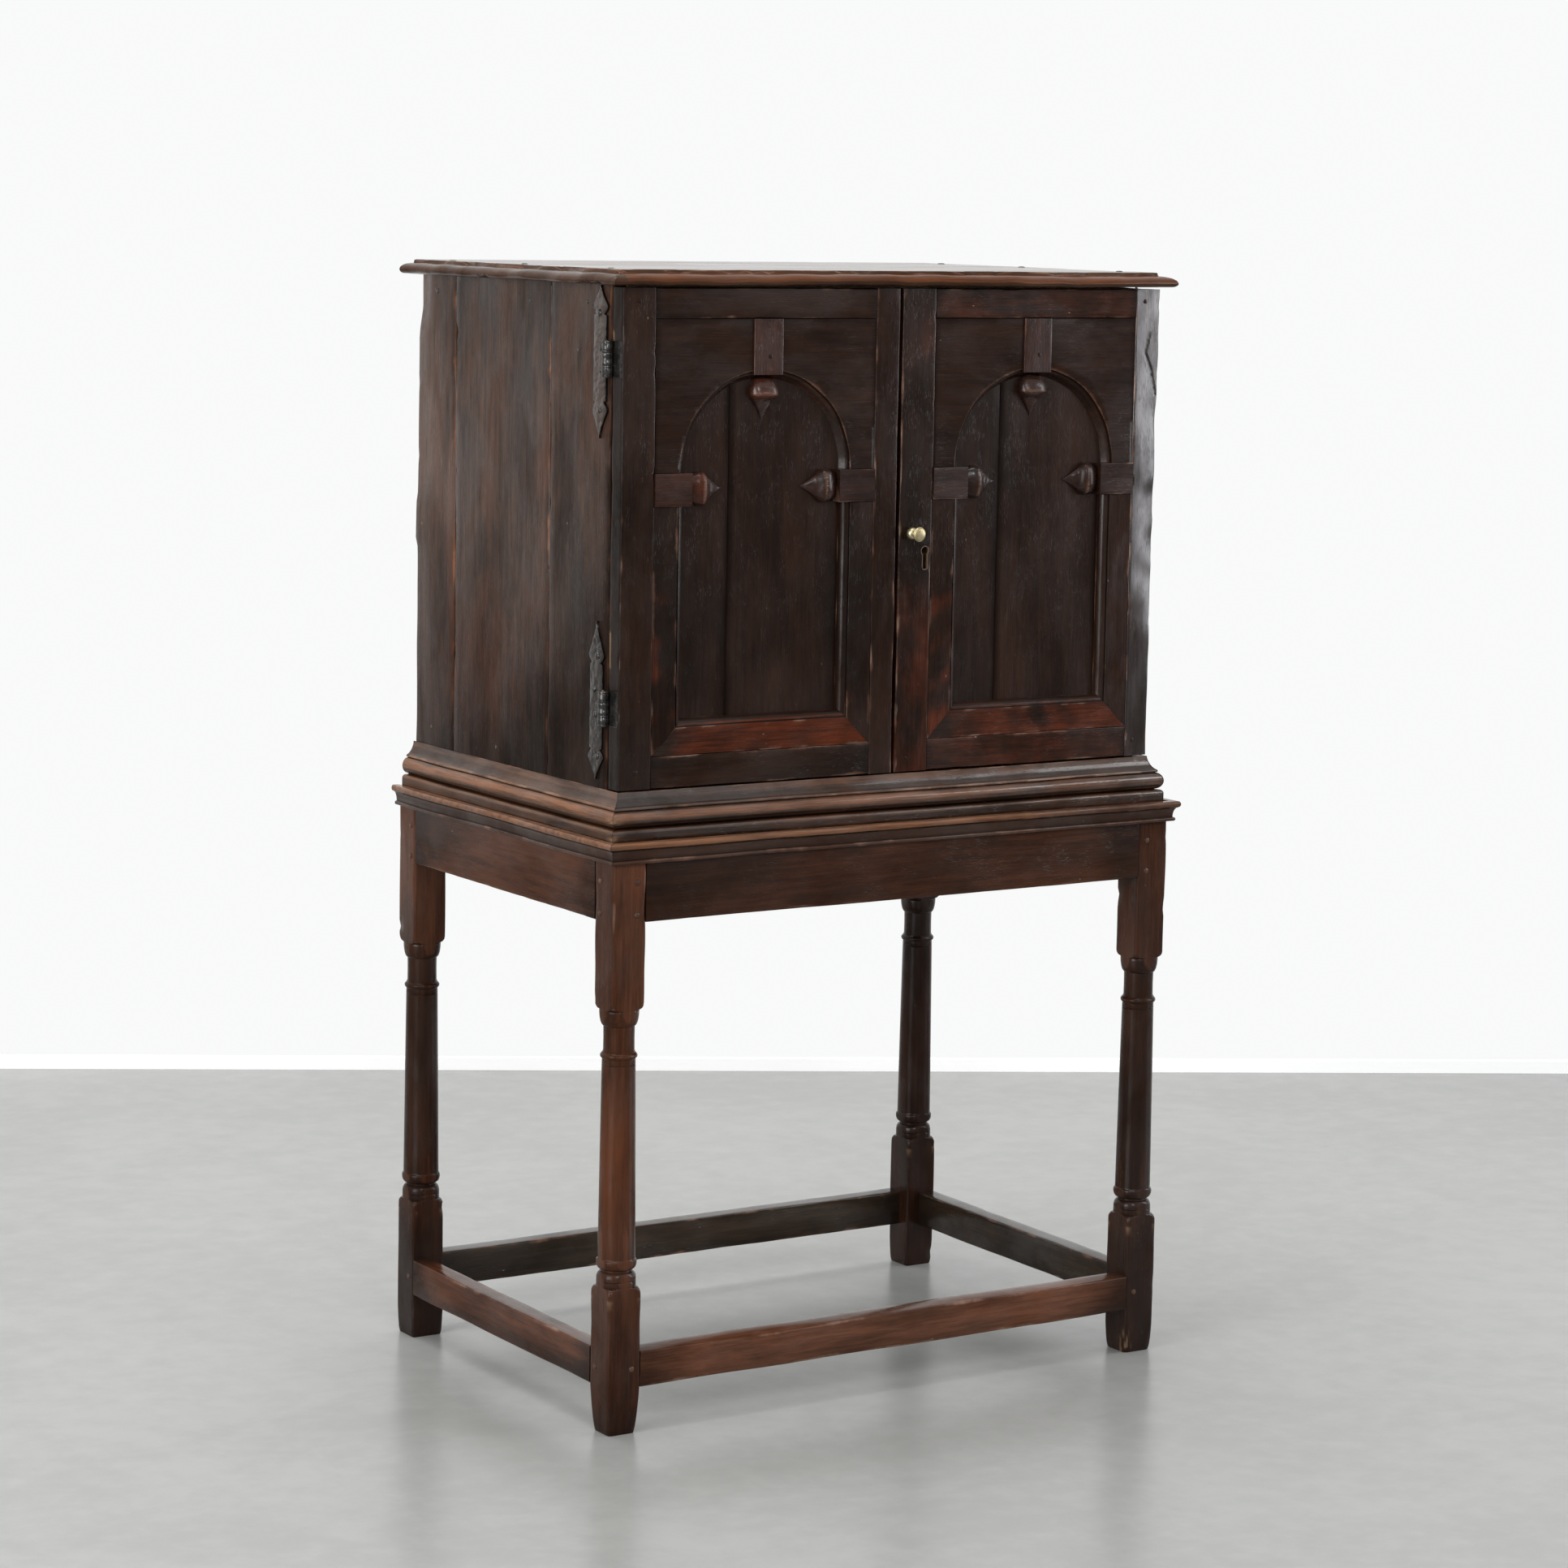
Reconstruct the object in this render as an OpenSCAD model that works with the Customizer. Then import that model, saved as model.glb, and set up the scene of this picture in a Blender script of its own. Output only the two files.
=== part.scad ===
// Oak cabinet on a turned stand: two arched panel doors above a four legged frame.
// Millimetres. X runs along the front, Y to the back and Z up from the floor.
// The origin is on the floor, in the middle of the whole outline.

/* [Case] */
// Width of the case over its sides
case_w = 812; // [700:1:1000]
// Depth of the case from the door faces to the back
case_d = 545; // [420:1:650]
// Thickness of a side board
side_t = 20; // [16:0.5:26]
// Width of the front board of each side
side_front_w = 153; // [110:1:200]
// Width of the rear board of each side
side_rear_w = 112; // [80:1:150]
// Thickness of the back boards
back_t = 12; // [8:0.5:16]
// Number of upright boards in the back
back_count = 4; // [3:1:6]
// Thickness of the bottom board
bottom_t = 20; // [16:0.5:26]
// How far the bottom board stands above the door bottoms as a stop
bottom_stop = 6; // [4:0.5:10]
// Depth of the groove that holds the bottom board
bottom_groove = 7; // [4:0.5:9]
// Height of the rail behind the door tops
head_rail_h = 40; // [30:1:60]
// Thickness of the rail behind the door tops
head_rail_t = 26; // [20:0.5:32]
// Height of the shelf above the bottom board
shelf_rise = 302; // [200:1:380]
// Thickness of the shelf
shelf_t = 18; // [14:0.5:24]
// Distance of the shelf behind the doors
shelf_setback = 16; // [6:1:60]
// Side of the square battens inside the case
batten_w = 20; // [14:0.5:26]
// Distance of the top battens behind the rail over the doors
batten_setback = 60; // [20:1:120]

/* [Top] */
// Thickness of the top
top_t = 19; // [16:0.5:26]
// Height of the small step above the thumb moulding
top_step_h = 4.5; // [2:0.5:7]
// Width of the thumb moulding from the edge to the step
top_thumb_w = 19.5; // [12:0.5:26]
// Overhang beyond the left side
top_left = 24; // [10:0.5:30]
// Overhang beyond the right side
top_right = 18; // [10:0.5:30]
// Overhang beyond the door faces
top_front = 17; // [8:0.5:26]
// Width of the rear board of the top
top_rear_w = 169; // [110:1:230]
// Opened joint under the front right corner of the top
top_lift = 3.5; // [1:0.5:5]
// Length of that opened joint along the front
top_lift_run = 90; // [40:1:200]

/* [Doors] */
// Height of the doors
door_h = 616; // [520:1:700]
// Thickness of the door frames
door_t = 26; // [22:0.5:32]
// Gap between the doors
meeting_gap = 5; // [3:0.5:8]
// Gap under the doors
door_gap_bottom = 2; // [1:0.5:5]
// Gap over the doors
door_gap_top = 3; // [2:0.5:6]
// Gap between the doors and the case behind them
door_gap_back = 1; // [0.5:0.25:3]
// Width of the left door's hinge stile
left_hinge_stile_w = 46; // [36:0.5:60]
// Width of the left door's meeting stile
left_meeting_stile_w = 35; // [32:0.5:50]
// Width of the right door's hinge stile
right_hinge_stile_w = 36.5; // [34:0.5:60]
// Width of the right door's meeting stile
right_meeting_stile_w = 50; // [50:0.5:66]
// Height of the door top rails
door_top_rail_w = 37; // [32:0.5:60]
// Height of the door bottom rails
door_bottom_rail_w = 40; // [32:0.5:60]
// Depth from the frame face to the panel
recess = 14; // [11:0.5:16]
// Thickness of the panels
panel_t = 8; // [6:0.5:9]
// Depth of the panel groove
panel_groove = 9; // [6:0.5:12]
// Distance of the panel joint to the left of the arch middle
panel_joint = 47; // [20:1:80]
// Thickness of the door tenons
door_tenon_t = 7; // [5:0.5:9]
// Length of the door tenons
door_tenon_l = 25; // [18:0.5:30]

/* [Arch and carved blocks] */
// Height of the arched board under the top rail
arch_board_h = 189; // [165:1:240]
// Radius of the arch opening at the front
arch_r = 125; // [100:1:140]
// Width of the sloping band round the arch
arch_band = 10; // [4:0.5:14]
// Depth of the small step at the front of the band
arch_step = 3; // [1:0.5:6]
// Width of the key block
key_w = 43; // [30:0.5:60]
// Height of the key block
key_h = 70; // [50:1:90]
// Width of the impost blocks
impost_w = 53; // [40:0.5:70]
// Height of the impost blocks
impost_h = 42; // [30:0.5:60]
// How far the blocks stand out of the door face
block_proud = 2.5; // [1:0.5:5]
// Depth that the key block is let into the arch board
key_seat = 8; // [4:0.5:9]
// Width of the key pendant
key_drop_w = 39; // [24:0.5:50]
// Length of the key pendant
key_drop_l = 49; // [30:1:70]
// Width of the impost pendants
impost_drop_w = 42; // [24:0.5:50]
// Length of the impost pendants
impost_drop_l = 51; // [30:1:56]
// Gap between a block and its pendant
drop_gap = 0.4; // [0.2:0.1:0.9]

/* [Panel mouldings] */
// Width of the flat of the panel mouldings
flat_w = 35; // [20:0.5:44]
// Width of the curved lip of the panel mouldings
lip_w = 10; // [5:0.5:14]
// Set back of the mouldings from the frame face
trim_setback = 0.8; // [0.4:0.1:2]

/* [Base mouldings] */
// Height of the moulding round the foot of the case
base_h = 62; // [54:1:80]
// How far that moulding stands out at its widest
base_out = 18; // [14:0.5:19.5]
// Height of the plain band at its foot
base_band_h = 18; // [12:0.5:24]
// How far its torus bulges
base_bulge = 5; // [3:0.5:7]
// Height of its upper hollow
base_hollow_h = 15; // [8:0.5:18]
// How far its upper hollow curves out
base_hollow_w = 9; // [5:0.5:12]

/* [Stand] */
// Height of the stand's legs and rails
stand_h = 748; // [640:1:820]
// Side of the square legs
leg_w = 47; // [47:0.5:60]
// How far the legs stand out beyond the case sides
stand_side = 20; // [18.5:0.5:30]
// How far the legs stand out in front of the door faces
stand_front = 26.5; // [20:0.5:34]
// How far the legs stand out behind the case
stand_rear = 3.5; // [0:0.5:12]
// Height of the rails under the case
rail_h = 97; // [80:1:120]
// Thickness of the rails
rail_t = 26; // [20:0.5:30]
// Height of the stretchers
stretcher_h = 48; // [36:0.5:60]
// Thickness of the stretchers
stretcher_t = 26; // [20:0.5:30]
// Height of the stretchers above the floor
stretcher_z = 60; // [40:1:90]
// Thickness of the stand's tenons
stand_tenon_t = 9; // [6:0.5:11]
// Length of the stand's tenons
stand_tenon_l = 26; // [20:0.5:27]
// Shoulder above the rail tenons
rail_shoulder = 22; // [12:0.5:30]
// Shoulder above and below the stretcher tenons
stretcher_shoulder = 5; // [3:0.5:8]
// Diameter of the pegs
peg_d = 7; // [5:0.5:7.5]
// Length of the pegs
peg_l = 30; // [24:0.5:30]
// How far the pegs stand out of the legs
peg_proud = 0.6; // [0.2:0.1:1.5]
// Height of the lower peg above the foot of a rail
peg_low = 9; // [7:0.5:14]
// Height of the upper peg above the foot of a rail
peg_high = 50; // [36:0.5:60]
// Height of the moulding round the top of the stand
stand_mould_h = 27; // [20:0.5:34]
// How far that moulding stands out at its lip
stand_mould_out = 12; // [10:0.5:20]
// How far that moulding stands up round the case as a lip
stand_mould_up = 4; // [2:0.5:6]
// Thickness of its rounded lip
stand_lip_t = 6; // [4:0.5:8]

/* [Leg turning] */
// Top of the lower square of a leg
lower_square = 180; // [150:1:200]
// Bottom of the upper square of a leg
upper_square = 549; // [500:1:570]
// Height of the turned shoulder of each square
shoulder_h = 9; // [6:0.5:14]
// Diameter of the cups next to the squares
cup_d = 50; // [44:0.5:52]
// Height of the lower cup
lower_cup_h = 19; // [14:0.5:24]
// Height of the upper cup
upper_cup_h = 20; // [14:0.5:24]
// Diameter of the hollow over the lower cup
hollow_d = 39.5; // [34:0.5:42]
// Height of the hollow over the lower cup
hollow_h = 3; // [2:0.5:6]
// Diameter of the bulb at the foot of the column
bulb_d = 51.5; // [44:0.5:54]
// Height of the bulb at the foot of the column
bulb_h = 13; // [8:0.5:18]
// Diameter of the column at its foot
column_foot_d = 47.4; // [40:0.5:48]
// Diameter of the column at its head
column_head_d = 42; // [36:0.5:44]
// Diameter of the ring over the column
ring_d = 47; // [43:0.5:50]
// Height of the ring over the column
ring_h = 10; // [6:0.5:14]
// Diameter of the neck over the ring
neck_d = 39.4; // [34:0.5:42]
// Height of the neck over the ring
neck_h = 32; // [20:0.5:44]
// Height over which the worn feet taper
foot_h = 37; // [20:1:50]
// How far each face of a foot tapers in
foot_in = 3; // [1:0.5:5]
// Height over which the corners of the feet are worn round
foot_round_h = 14; // [4:1:30]

/* [Hinges] */
// Height of the lower hinges above the door bottom
hinge_low = 100; // [80:1:160]
// Height of the upper hinges below the door top
hinge_high = 87; // [76:1:190]
// Radius of the hinge knuckles
knuckle_r = 7; // [5.5:0.25:9]
// Height of the three knuckles together
knuckle_h = 44; // [36:0.5:56]
// Height of the middle knuckle
knuckle_mid = 15; // [11:0.5:20]
// Radius of the hinge pins
pin_r = 3; // [2.5:0.25:3.5]
// How far the pins stand out of the knuckles
pin_out = 1.5; // [0.5:0.5:4]
// Thickness of the iron leaves
leaf_t = 2.5; // [2:0.25:3.5]
// Height of the straight part of the side leaf
strap_h = 104; // [90:1:120]
// Width of the straight part of the side leaf
strap_w = 30; // [20:0.5:36]
// Distance of the straight part behind the pin
strap_back = 11; // [9.5:0.5:16]
// Length of the upper points of the lower side leaves
low_spear_up = 54; // [30:1:60]
// Length of the lower points of the lower side leaves
low_spear_down = 39; // [30:1:45]
// Length of the upper points of the upper side leaves
high_spear_up = 37; // [30:1:37]
// Length of the lower points of the upper side leaves
high_spear_down = 46; // [30:1:60]
// Width of the pointed ends of the side leaf
spear_w = 37; // [20:0.5:40]
// Width of the waist below each pointed end
waist_w = 15; // [8:0.5:18]
// Depth of the leaf on the door edge
door_leaf_w = 24; // [16:0.5:24.5]

/* [Lock and bolts] */
// Height of the knob above the door bottom
knob_z = 306; // [290:1:330]
// Distance of the knob from the door edge
knob_in = 19.5; // [15:0.5:24]
// Diameter of the knob's face
knob_d = 18.7; // [14:0.1:24]
// How far the knob stands out of the door
knob_out = 20; // [15:0.5:28]
// Diameter of the knob's foot
knob_foot_d = 16; // [12:0.5:20]
// Diameter of the knob's neck
knob_neck_d = 8; // [7:0.5:10]
// Diameter of the knob's shank
knob_shank_d = 6; // [4:0.5:6.5]
// Distance of the keyhole from the door edge
keyhole_in = 40.5; // [36:0.5:42]
// Height of the keyhole's round end above the door bottom
keyhole_z = 283; // [278:0.5:284]
// Diameter of the keyhole's round end
keyhole_d = 11; // [8:0.5:12]
// Width of the keyhole's slot
keyhole_slot_w = 7; // [4:0.5:8]
// Length of the keyhole's slot below the round end's middle
keyhole_slot_l = 23; // [19:0.5:24]
// Wall of the keyhole's metal liner
liner_t = 1.2; // [0.8:0.1:1.8]
// Depth of the keyhole's metal liner
liner_l = 4; // [2:0.5:8]
// Width of the lock case
lock_w = 68; // [66:0.5:80]
// Height of the lock case
lock_h = 76; // [74:1:96]
// Thickness of the lock case
lock_t = 13; // [11:0.5:16]
// Height of the lock case over its bolt
lock_rim = 6; // [3:0.5:10]
// Height of the lock bolt
bolt_h = 12; // [8:0.5:16]
// Thickness of the lock bolt
bolt_t = 6; // [4:0.5:7]
// Length of the lock bolt
bolt_l = 58; // [56:0.5:62]
// Travel of the lock bolt
bolt_travel = 16; // [12:0.5:18]
// Depth of the notch in the lock bolt that the key turns in
talon_d = 4; // [3.5:0.5:5]
// Width of the keep on the left door
keep_w = 18; // [12:0.5:24]
// Wall of the keep over the bolt
keep_wall = 4; // [2.5:0.5:6]
// Diameter of the left door's upright bolt
door_bolt_d = 7; // [5:0.5:9]
// Length of the left door's upright bolt
door_bolt_l = 100; // [98:1:120]
// Travel of the left door's upright bolt
door_bolt_travel = 12; // [8:0.5:16]
// Distance of the upright bolt from the door edge
door_bolt_in = 18.5; // [13:0.5:22]
// Thickness of the upright bolt's plate
bolt_plate_t = 2.5; // [1.5:0.5:4]
// Height of the upright bolt's plate
bolt_plate_h = 90; // [84:1:110]
// Height of each staple over the upright bolt
staple_h = 12; // [8:0.5:16]
// Wall of each staple over the upright bolt
staple_wall = 3; // [2:0.5:4]
// Length of the upright bolt's handle
bolt_handle_l = 14; // [10:0.5:20]

/* [Clearances] */
// Clearance round tenons and let in pieces
joint_fit = 0.2; // [0.1:0.05:0.5]
// Gap between boards that lie side by side
board_gap = 0.3; // [0.1:0.1:1]
// Clearance of a hinge pin in the door's knuckle
pin_fit = 0.08; // [0.03:0.01:0.1]
// Gap between neighbouring knuckles
knuckle_gap = 0.3; // [0.2:0.1:0.6]
// Gap between a knuckle and the wood beside it
knuckle_clear = 0.5; // [0.3:0.1:1]
// Clearance round a sliding bolt
slide_fit = 0.3; // [0.2:0.05:0.5]
// Width of the chamfer on the long edges of boards
arris = 1; // [0.5:0.25:2]

/* [Hidden] */
$fn = 64;

// Wood and metal colours
stand_oak = [0.27, 0.13, 0.09];
case_oak = [0.16, 0.10, 0.08];
panel_oak = [0.12, 0.08, 0.07];
red_oak = [0.24, 0.10, 0.07];
top_oak = [0.36, 0.21, 0.14];
plain_oak = [0.45, 0.33, 0.22];
iron = [0.15, 0.15, 0.15];
brass = [0.70, 0.64, 0.42];

// Extra length of a cutting shape past the face that it cuts
over = 1;
sliver = 0.01;

// Outline of the stand and the case, seen from above
half_case = case_w / 2;
half_stand = half_case + stand_side;
stand_d = case_d + stand_front + stand_rear;
leg_front_y = (stand_mould_out - stand_d) / 2;
leg_back_y = leg_front_y + stand_d;
door_front_y = leg_front_y + stand_front;
door_back_y = door_front_y + door_t;
case_front_y = door_back_y + door_gap_back;
case_back_y = door_front_y + case_d;
inner_x = half_case - side_t;

// Heights
base_top = stand_h + base_h;
door_z = base_top + door_gap_bottom;
case_top = door_z + door_h + door_gap_top;
bottom_top = door_z + bottom_stop;
head_rail_z = case_top - head_rail_h;
// Springing of the arches above the door bottom
arch_spring = door_h - door_top_rail_w - arch_board_h;
shelf_z = bottom_top + shelf_rise;

// Points of a curve from p to q, bulging as a quarter ellipse that leaves p along its first axis
function quarter(p, q, steps, upright) = [
  for (i = [0 : steps])
    let (a = 90 * i / steps)
    upright
      ? [p[0] + (q[0] - p[0]) * (1 - cos(a)), p[1] + (q[1] - p[1]) * sin(a)]
      : [p[0] + (q[0] - p[0]) * sin(a), p[1] + (q[1] - p[1]) * (1 - cos(a))]
];

// Points of a half ellipse from p up to q on the same line, standing out by d
function half_round(p, q, d, steps) = [
  for (i = [0 : steps])
    let (a = 180 * i / steps)
    [p[0] + d * sin(a), p[1] + (q[1] - p[1]) * (1 - cos(a)) / 2]
];

// A bar along X with chamfered long edges, its outer face at y = 0
module board_x(length, depth, height) {
  rotate([90, 0, 90])
    linear_extrude(length)
      polygon([
        [arris, 0], [depth - arris, 0], [depth, arris], [depth, height - arris],
        [depth - arris, height], [arris, height], [0, height - arris], [0, arris]
      ]);
}

// An upright bar with chamfered long edges, from the origin into +X and +Y
module board_z(width, depth, height) {
  linear_extrude(height)
    polygon([
      [arris, 0], [width - arris, 0], [width, arris], [width, depth - arris],
      [width - arris, depth], [arris, depth], [0, depth - arris], [0, arris]
    ]);
}

// Leg turning, from the floor up: radius and height of each point
square_r = leg_w / sqrt(2) + 0.2;
foot_r = leg_w / 2 - foot_in;
lower_cup_z = lower_square + shoulder_h;
hollow_z = lower_cup_z + lower_cup_h;
bulb_z = hollow_z + hollow_h;
column_z = bulb_z + bulb_h;
upper_cup_z = upper_square - shoulder_h - upper_cup_h;
neck_z = upper_cup_z - neck_h;
ring_z = neck_z - ring_h;
turn_step = 0.7;
cup_band = 7;
cup_line = 1;
leg_turning = concat(
  [[0, 0]],
  quarter([foot_r, 0], [square_r, foot_round_h], 8, false),
  [[square_r, lower_square]],
  quarter([square_r, lower_square], [cup_d / 2, lower_cup_z], 4, true),
  [[cup_d / 2, lower_cup_z + cup_band]],
  [[cup_d / 2 - turn_step, lower_cup_z + cup_band + cup_line / 2]],
  quarter([cup_d / 2, lower_cup_z + cup_band + cup_line], [hollow_d / 2, hollow_z], 6, true),
  [[hollow_d / 2, bulb_z]],
  quarter([hollow_d / 2 + turn_step, bulb_z], [bulb_d / 2, column_z - cup_line], 6, false),
  [[column_foot_d / 2 + turn_step, column_z]],
  [[column_foot_d / 2, column_z + cup_line]],
  [[column_head_d / 2, ring_z - cup_band]],
  [[column_head_d / 2 - turn_step / 2, ring_z - cup_band + cup_line / 2]],
  [[column_head_d / 2, ring_z - cup_band + cup_line], [column_head_d / 2, ring_z]],
  half_round([column_head_d / 2, ring_z], [column_head_d / 2, neck_z - cup_line * 2],
             (ring_d - column_head_d) / 2, 8),
  [[neck_d / 2 + turn_step, neck_z - cup_line * 2], [neck_d / 2 + turn_step, neck_z]],
  [[neck_d / 2, neck_z], [neck_d / 2, upper_cup_z]],
  quarter([neck_d / 2, upper_cup_z], [cup_d / 2, upper_square - shoulder_h], 6, false),
  quarter([cup_d / 2, upper_square - shoulder_h], [square_r, upper_square], 4, false),
  [[square_r, stand_h], [0, stand_h]]
);

// Where the tenons lie in the leg, measured from the outer faces
rail_tenon_in = (rail_t - stand_tenon_t) / 2;
stretcher_tenon_in = (stretcher_t - stand_tenon_t) / 2;
rail_z = stand_h - rail_h;
peg_in = stand_tenon_l / 2;
peg_r = peg_d / 2;

// Mortise in a leg for a bar along X that starts at the leg's inner face
module leg_mortise(tenon_in, z, height) {
  translate([leg_w / 2 - stand_tenon_l - joint_fit, tenon_in - leg_w / 2 - joint_fit, z - joint_fit])
    cube([stand_tenon_l + joint_fit + over, stand_tenon_t + 2 * joint_fit, height + 2 * joint_fit]);
}

// Peg hole in a leg through the tenon of a bar along X
module leg_peg_hole(z) {
  translate([leg_w / 2 - peg_in, -leg_w / 2 - over, z])
    rotate([-90, 0, 0])
      cylinder(r = peg_r + joint_fit / 2, h = peg_l - peg_proud + over + joint_fit);
}

// Everything cut into a leg for the rail and the stretcher along X
module leg_cuts() {
  leg_mortise(rail_tenon_in, rail_z, rail_h - rail_shoulder);
  leg_mortise(stretcher_tenon_in, stretcher_z + stretcher_shoulder, stretcher_h - 2 * stretcher_shoulder);
  leg_peg_hole(rail_z + peg_low);
  leg_peg_hole(rail_z + peg_high);
  leg_peg_hole(stretcher_z + stretcher_h / 2);
}

// Wedge that tapers the face of a foot on the -Y side
module foot_wedge() {
  translate([-leg_w, -leg_w / 2, 0])
    rotate([90, 0, 90])
      linear_extrude(2 * leg_w)
        polygon([[-over, -over], [foot_in, -over], [foot_in, 0], [0, foot_h], [-over, foot_h]]);
}

// The front left leg, standing on the origin, and its mirrored forms
module leg(side_x, side_y) {
  color(stand_oak)
    translate([side_x * (half_stand - leg_w / 2),
               side_y < 0 ? leg_front_y + leg_w / 2 : leg_back_y - leg_w / 2, 0])
      mirror([side_x > 0 ? 1 : 0, 0, 0])
        mirror([0, side_y > 0 ? 1 : 0, 0])
          difference() {
            intersection() {
              translate([-leg_w / 2, -leg_w / 2, 0])
                board_z(leg_w, leg_w, stand_h);
              rotate_extrude()
                polygon(leg_turning);
            }
            for (turn = [0 : 3])
              rotate([0, 0, 90 * turn])
                foot_wedge();
            leg_cuts();
            mirror([1, -1, 0])
              leg_cuts();
          }
}
module leg_front_left() { leg(-1, -1); }
module leg_front_right() { leg(1, -1); }
module leg_back_left() { leg(-1, 1); }
module leg_back_right() { leg(1, 1); }

// A rail or stretcher along X between two legs, with a tenon at each end
module stand_bar(span, depth, height, tenon_in, shoulder_low, shoulder_high, pegs) {
  difference() {
    union() {
      translate([-span / 2, 0, 0])
        board_x(span, depth, height);
      translate([-span / 2 - stand_tenon_l, tenon_in, shoulder_low])
        cube([span + 2 * stand_tenon_l, stand_tenon_t, height - shoulder_low - shoulder_high]);
    }
    for (side = [-1, 1])
      for (z = pegs)
        translate([side * (span / 2 + peg_in), -over, z])
          rotate([-90, 0, 0])
            cylinder(r = peg_r + joint_fit / 2, h = depth + 2 * over);
  }
}
front_span = 2 * (half_stand - leg_w);
side_span = stand_d - 2 * leg_w;
stand_mid_y = (leg_front_y + leg_back_y) / 2;

// Puts a bar whose outer face is at y = 0 on one side of the stand: 0 front, 1 right, 2 back, 3 left
module on_side(side) {
  if (side == 0)
    translate([0, leg_front_y, 0]) children();
  if (side == 1)
    translate([half_stand, stand_mid_y, 0]) rotate([0, 0, 90]) children();
  if (side == 2)
    translate([0, leg_back_y, 0]) rotate([0, 0, 180]) children();
  if (side == 3)
    translate([-half_stand, stand_mid_y, 0]) rotate([0, 0, -90]) children();
}
function side_span_of(side) = side % 2 == 0 ? front_span : side_span;

module rail(side) {
  color(stand_oak)
    on_side(side)
      translate([0, 0, rail_z])
        stand_bar(side_span_of(side), rail_t, rail_h, rail_tenon_in, 0, rail_shoulder,
                  [peg_low, peg_high]);
}
module rail_front() { rail(0); }
module rail_right() { rail(1); }
module rail_back() { rail(2); }
module rail_left() { rail(3); }

module stretcher(side) {
  color(stand_oak)
    on_side(side)
      translate([0, 0, stretcher_z])
        stand_bar(side_span_of(side), stretcher_t, stretcher_h, stretcher_tenon_in,
                  stretcher_shoulder, stretcher_shoulder, [stretcher_h / 2]);
}
module stretcher_front() { stretcher(0); }
module stretcher_right() { stretcher(1); }
module stretcher_back() { stretcher(2); }
module stretcher_left() { stretcher(3); }

// Pegs through every tenon of the stand
module stand_pegs() {
  color(red_oak)
    for (side = [0 : 3])
      on_side(side)
        for (end = [-1, 1])
          for (z = [rail_z + peg_low, rail_z + peg_high, stretcher_z + stretcher_h / 2])
            translate([end * (side_span_of(side) / 2 + peg_in), -peg_proud, z])
              rotate([-90, 0, 0])
                cylinder(r = peg_r, h = peg_l);
}

// A moulding along X whose back is at y = 0 and whose ends are mitred or square.
// The profile gives how far it stands out and how high each point is.
mitre_gap = 0.1;
module moulding_run(profile, x0, x1, mitre0, mitre1) {
  reach = 100;
  difference() {
    translate([x0 - (mitre0 ? reach : 0), 0, 0])
      rotate([90, 0, 90])
        linear_extrude(x1 - x0 + (mitre0 ? reach : 0) + (mitre1 ? reach : 0))
          mirror([1, 0, 0])
            polygon(profile);
    if (mitre0)
      translate([x0 + mitre_gap, 0, -over])
        linear_extrude(stand_h + base_h + 2 * over)
          polygon([[0, 0], [-reach - over, -reach - over], [-reach - over, over], [0, over]]);
    if (mitre1)
      translate([x1 - mitre_gap, 0, -over])
        linear_extrude(stand_h + base_h + 2 * over)
          polygon([[0, 0], [reach + over, -reach - over], [reach + over, over], [0, over]]);
  }
}

// Moulding round the top of the stand, with a hollow under a rounded lip
mould_z0 = stand_h + stand_mould_up - stand_mould_h;
mould_z1 = stand_h + stand_mould_up;
mould_fillet = 4;
stand_profile = concat(
  [[0, mould_z0], [stand_mould_out / 2, mould_z0]],
  quarter([stand_mould_out / 2, mould_z0 + mould_fillet],
          [stand_mould_out - arris, mould_z1 - stand_lip_t], 6, true),
  quarter([stand_mould_out, mould_z1 - stand_lip_t],
          [stand_mould_out - stand_lip_t / 2, mould_z1], 4, true),
  [[0, mould_z1]]
);
module stand_moulding() {
  color(stand_oak) {
    translate([0, leg_front_y, 0])
      moulding_run(stand_profile, -half_stand, half_stand, true, true);
    translate([half_stand, 0, 0])
      rotate([0, 0, 90])
        moulding_run(stand_profile, leg_front_y, leg_back_y, true, false);
    translate([-half_stand, 0, 0])
      rotate([0, 0, -90])
        moulding_run(stand_profile, -leg_back_y, -leg_front_y, false, true);
  }
}

// Moulding round the foot of the case: band, small hollow, torus, fillet and hollow
base_fillet_h = 2;
base_fillet_w = 1;
torus_z0 = stand_h + base_band_h + base_fillet_h;
hollow_z0 = base_top - base_hollow_h - base_fillet_h;
torus_z1 = hollow_z0 - 2 * base_fillet_h - base_fillet_w;
torus_in = base_out - base_bulge;
base_profile = concat(
  [[0, stand_h], [base_out, stand_h], [base_out, stand_h + base_band_h - arris]],
  [[base_out - arris, stand_h + base_band_h], [torus_in + base_fillet_w, stand_h + base_band_h]],
  half_round([torus_in, torus_z0], [torus_in, torus_z1], base_bulge, 10),
  [[torus_in - base_fillet_w, torus_z1 + base_fillet_w]],
  [[torus_in - base_fillet_w, hollow_z0 - base_fillet_h]],
  quarter([base_hollow_w + base_fillet_w, hollow_z0], [base_fillet_w, base_top - base_fillet_h], 6, false),
  [[base_fillet_w, base_top], [0, base_top]]
);
module base_moulding_front() {
  color(case_oak)
    translate([0, door_front_y, 0])
      moulding_run(base_profile, -half_case, half_case, true, true);
}
module base_moulding_right() {
  color(case_oak)
    translate([half_case, 0, 0])
      rotate([0, 0, 90])
        moulding_run(base_profile, door_front_y, case_back_y, true, false);
}
module base_moulding_left() {
  color(case_oak)
    translate([-half_case, 0, 0])
      rotate([0, 0, -90])
        moulding_run(base_profile, -case_back_y, -door_front_y, false, true);
}

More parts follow.
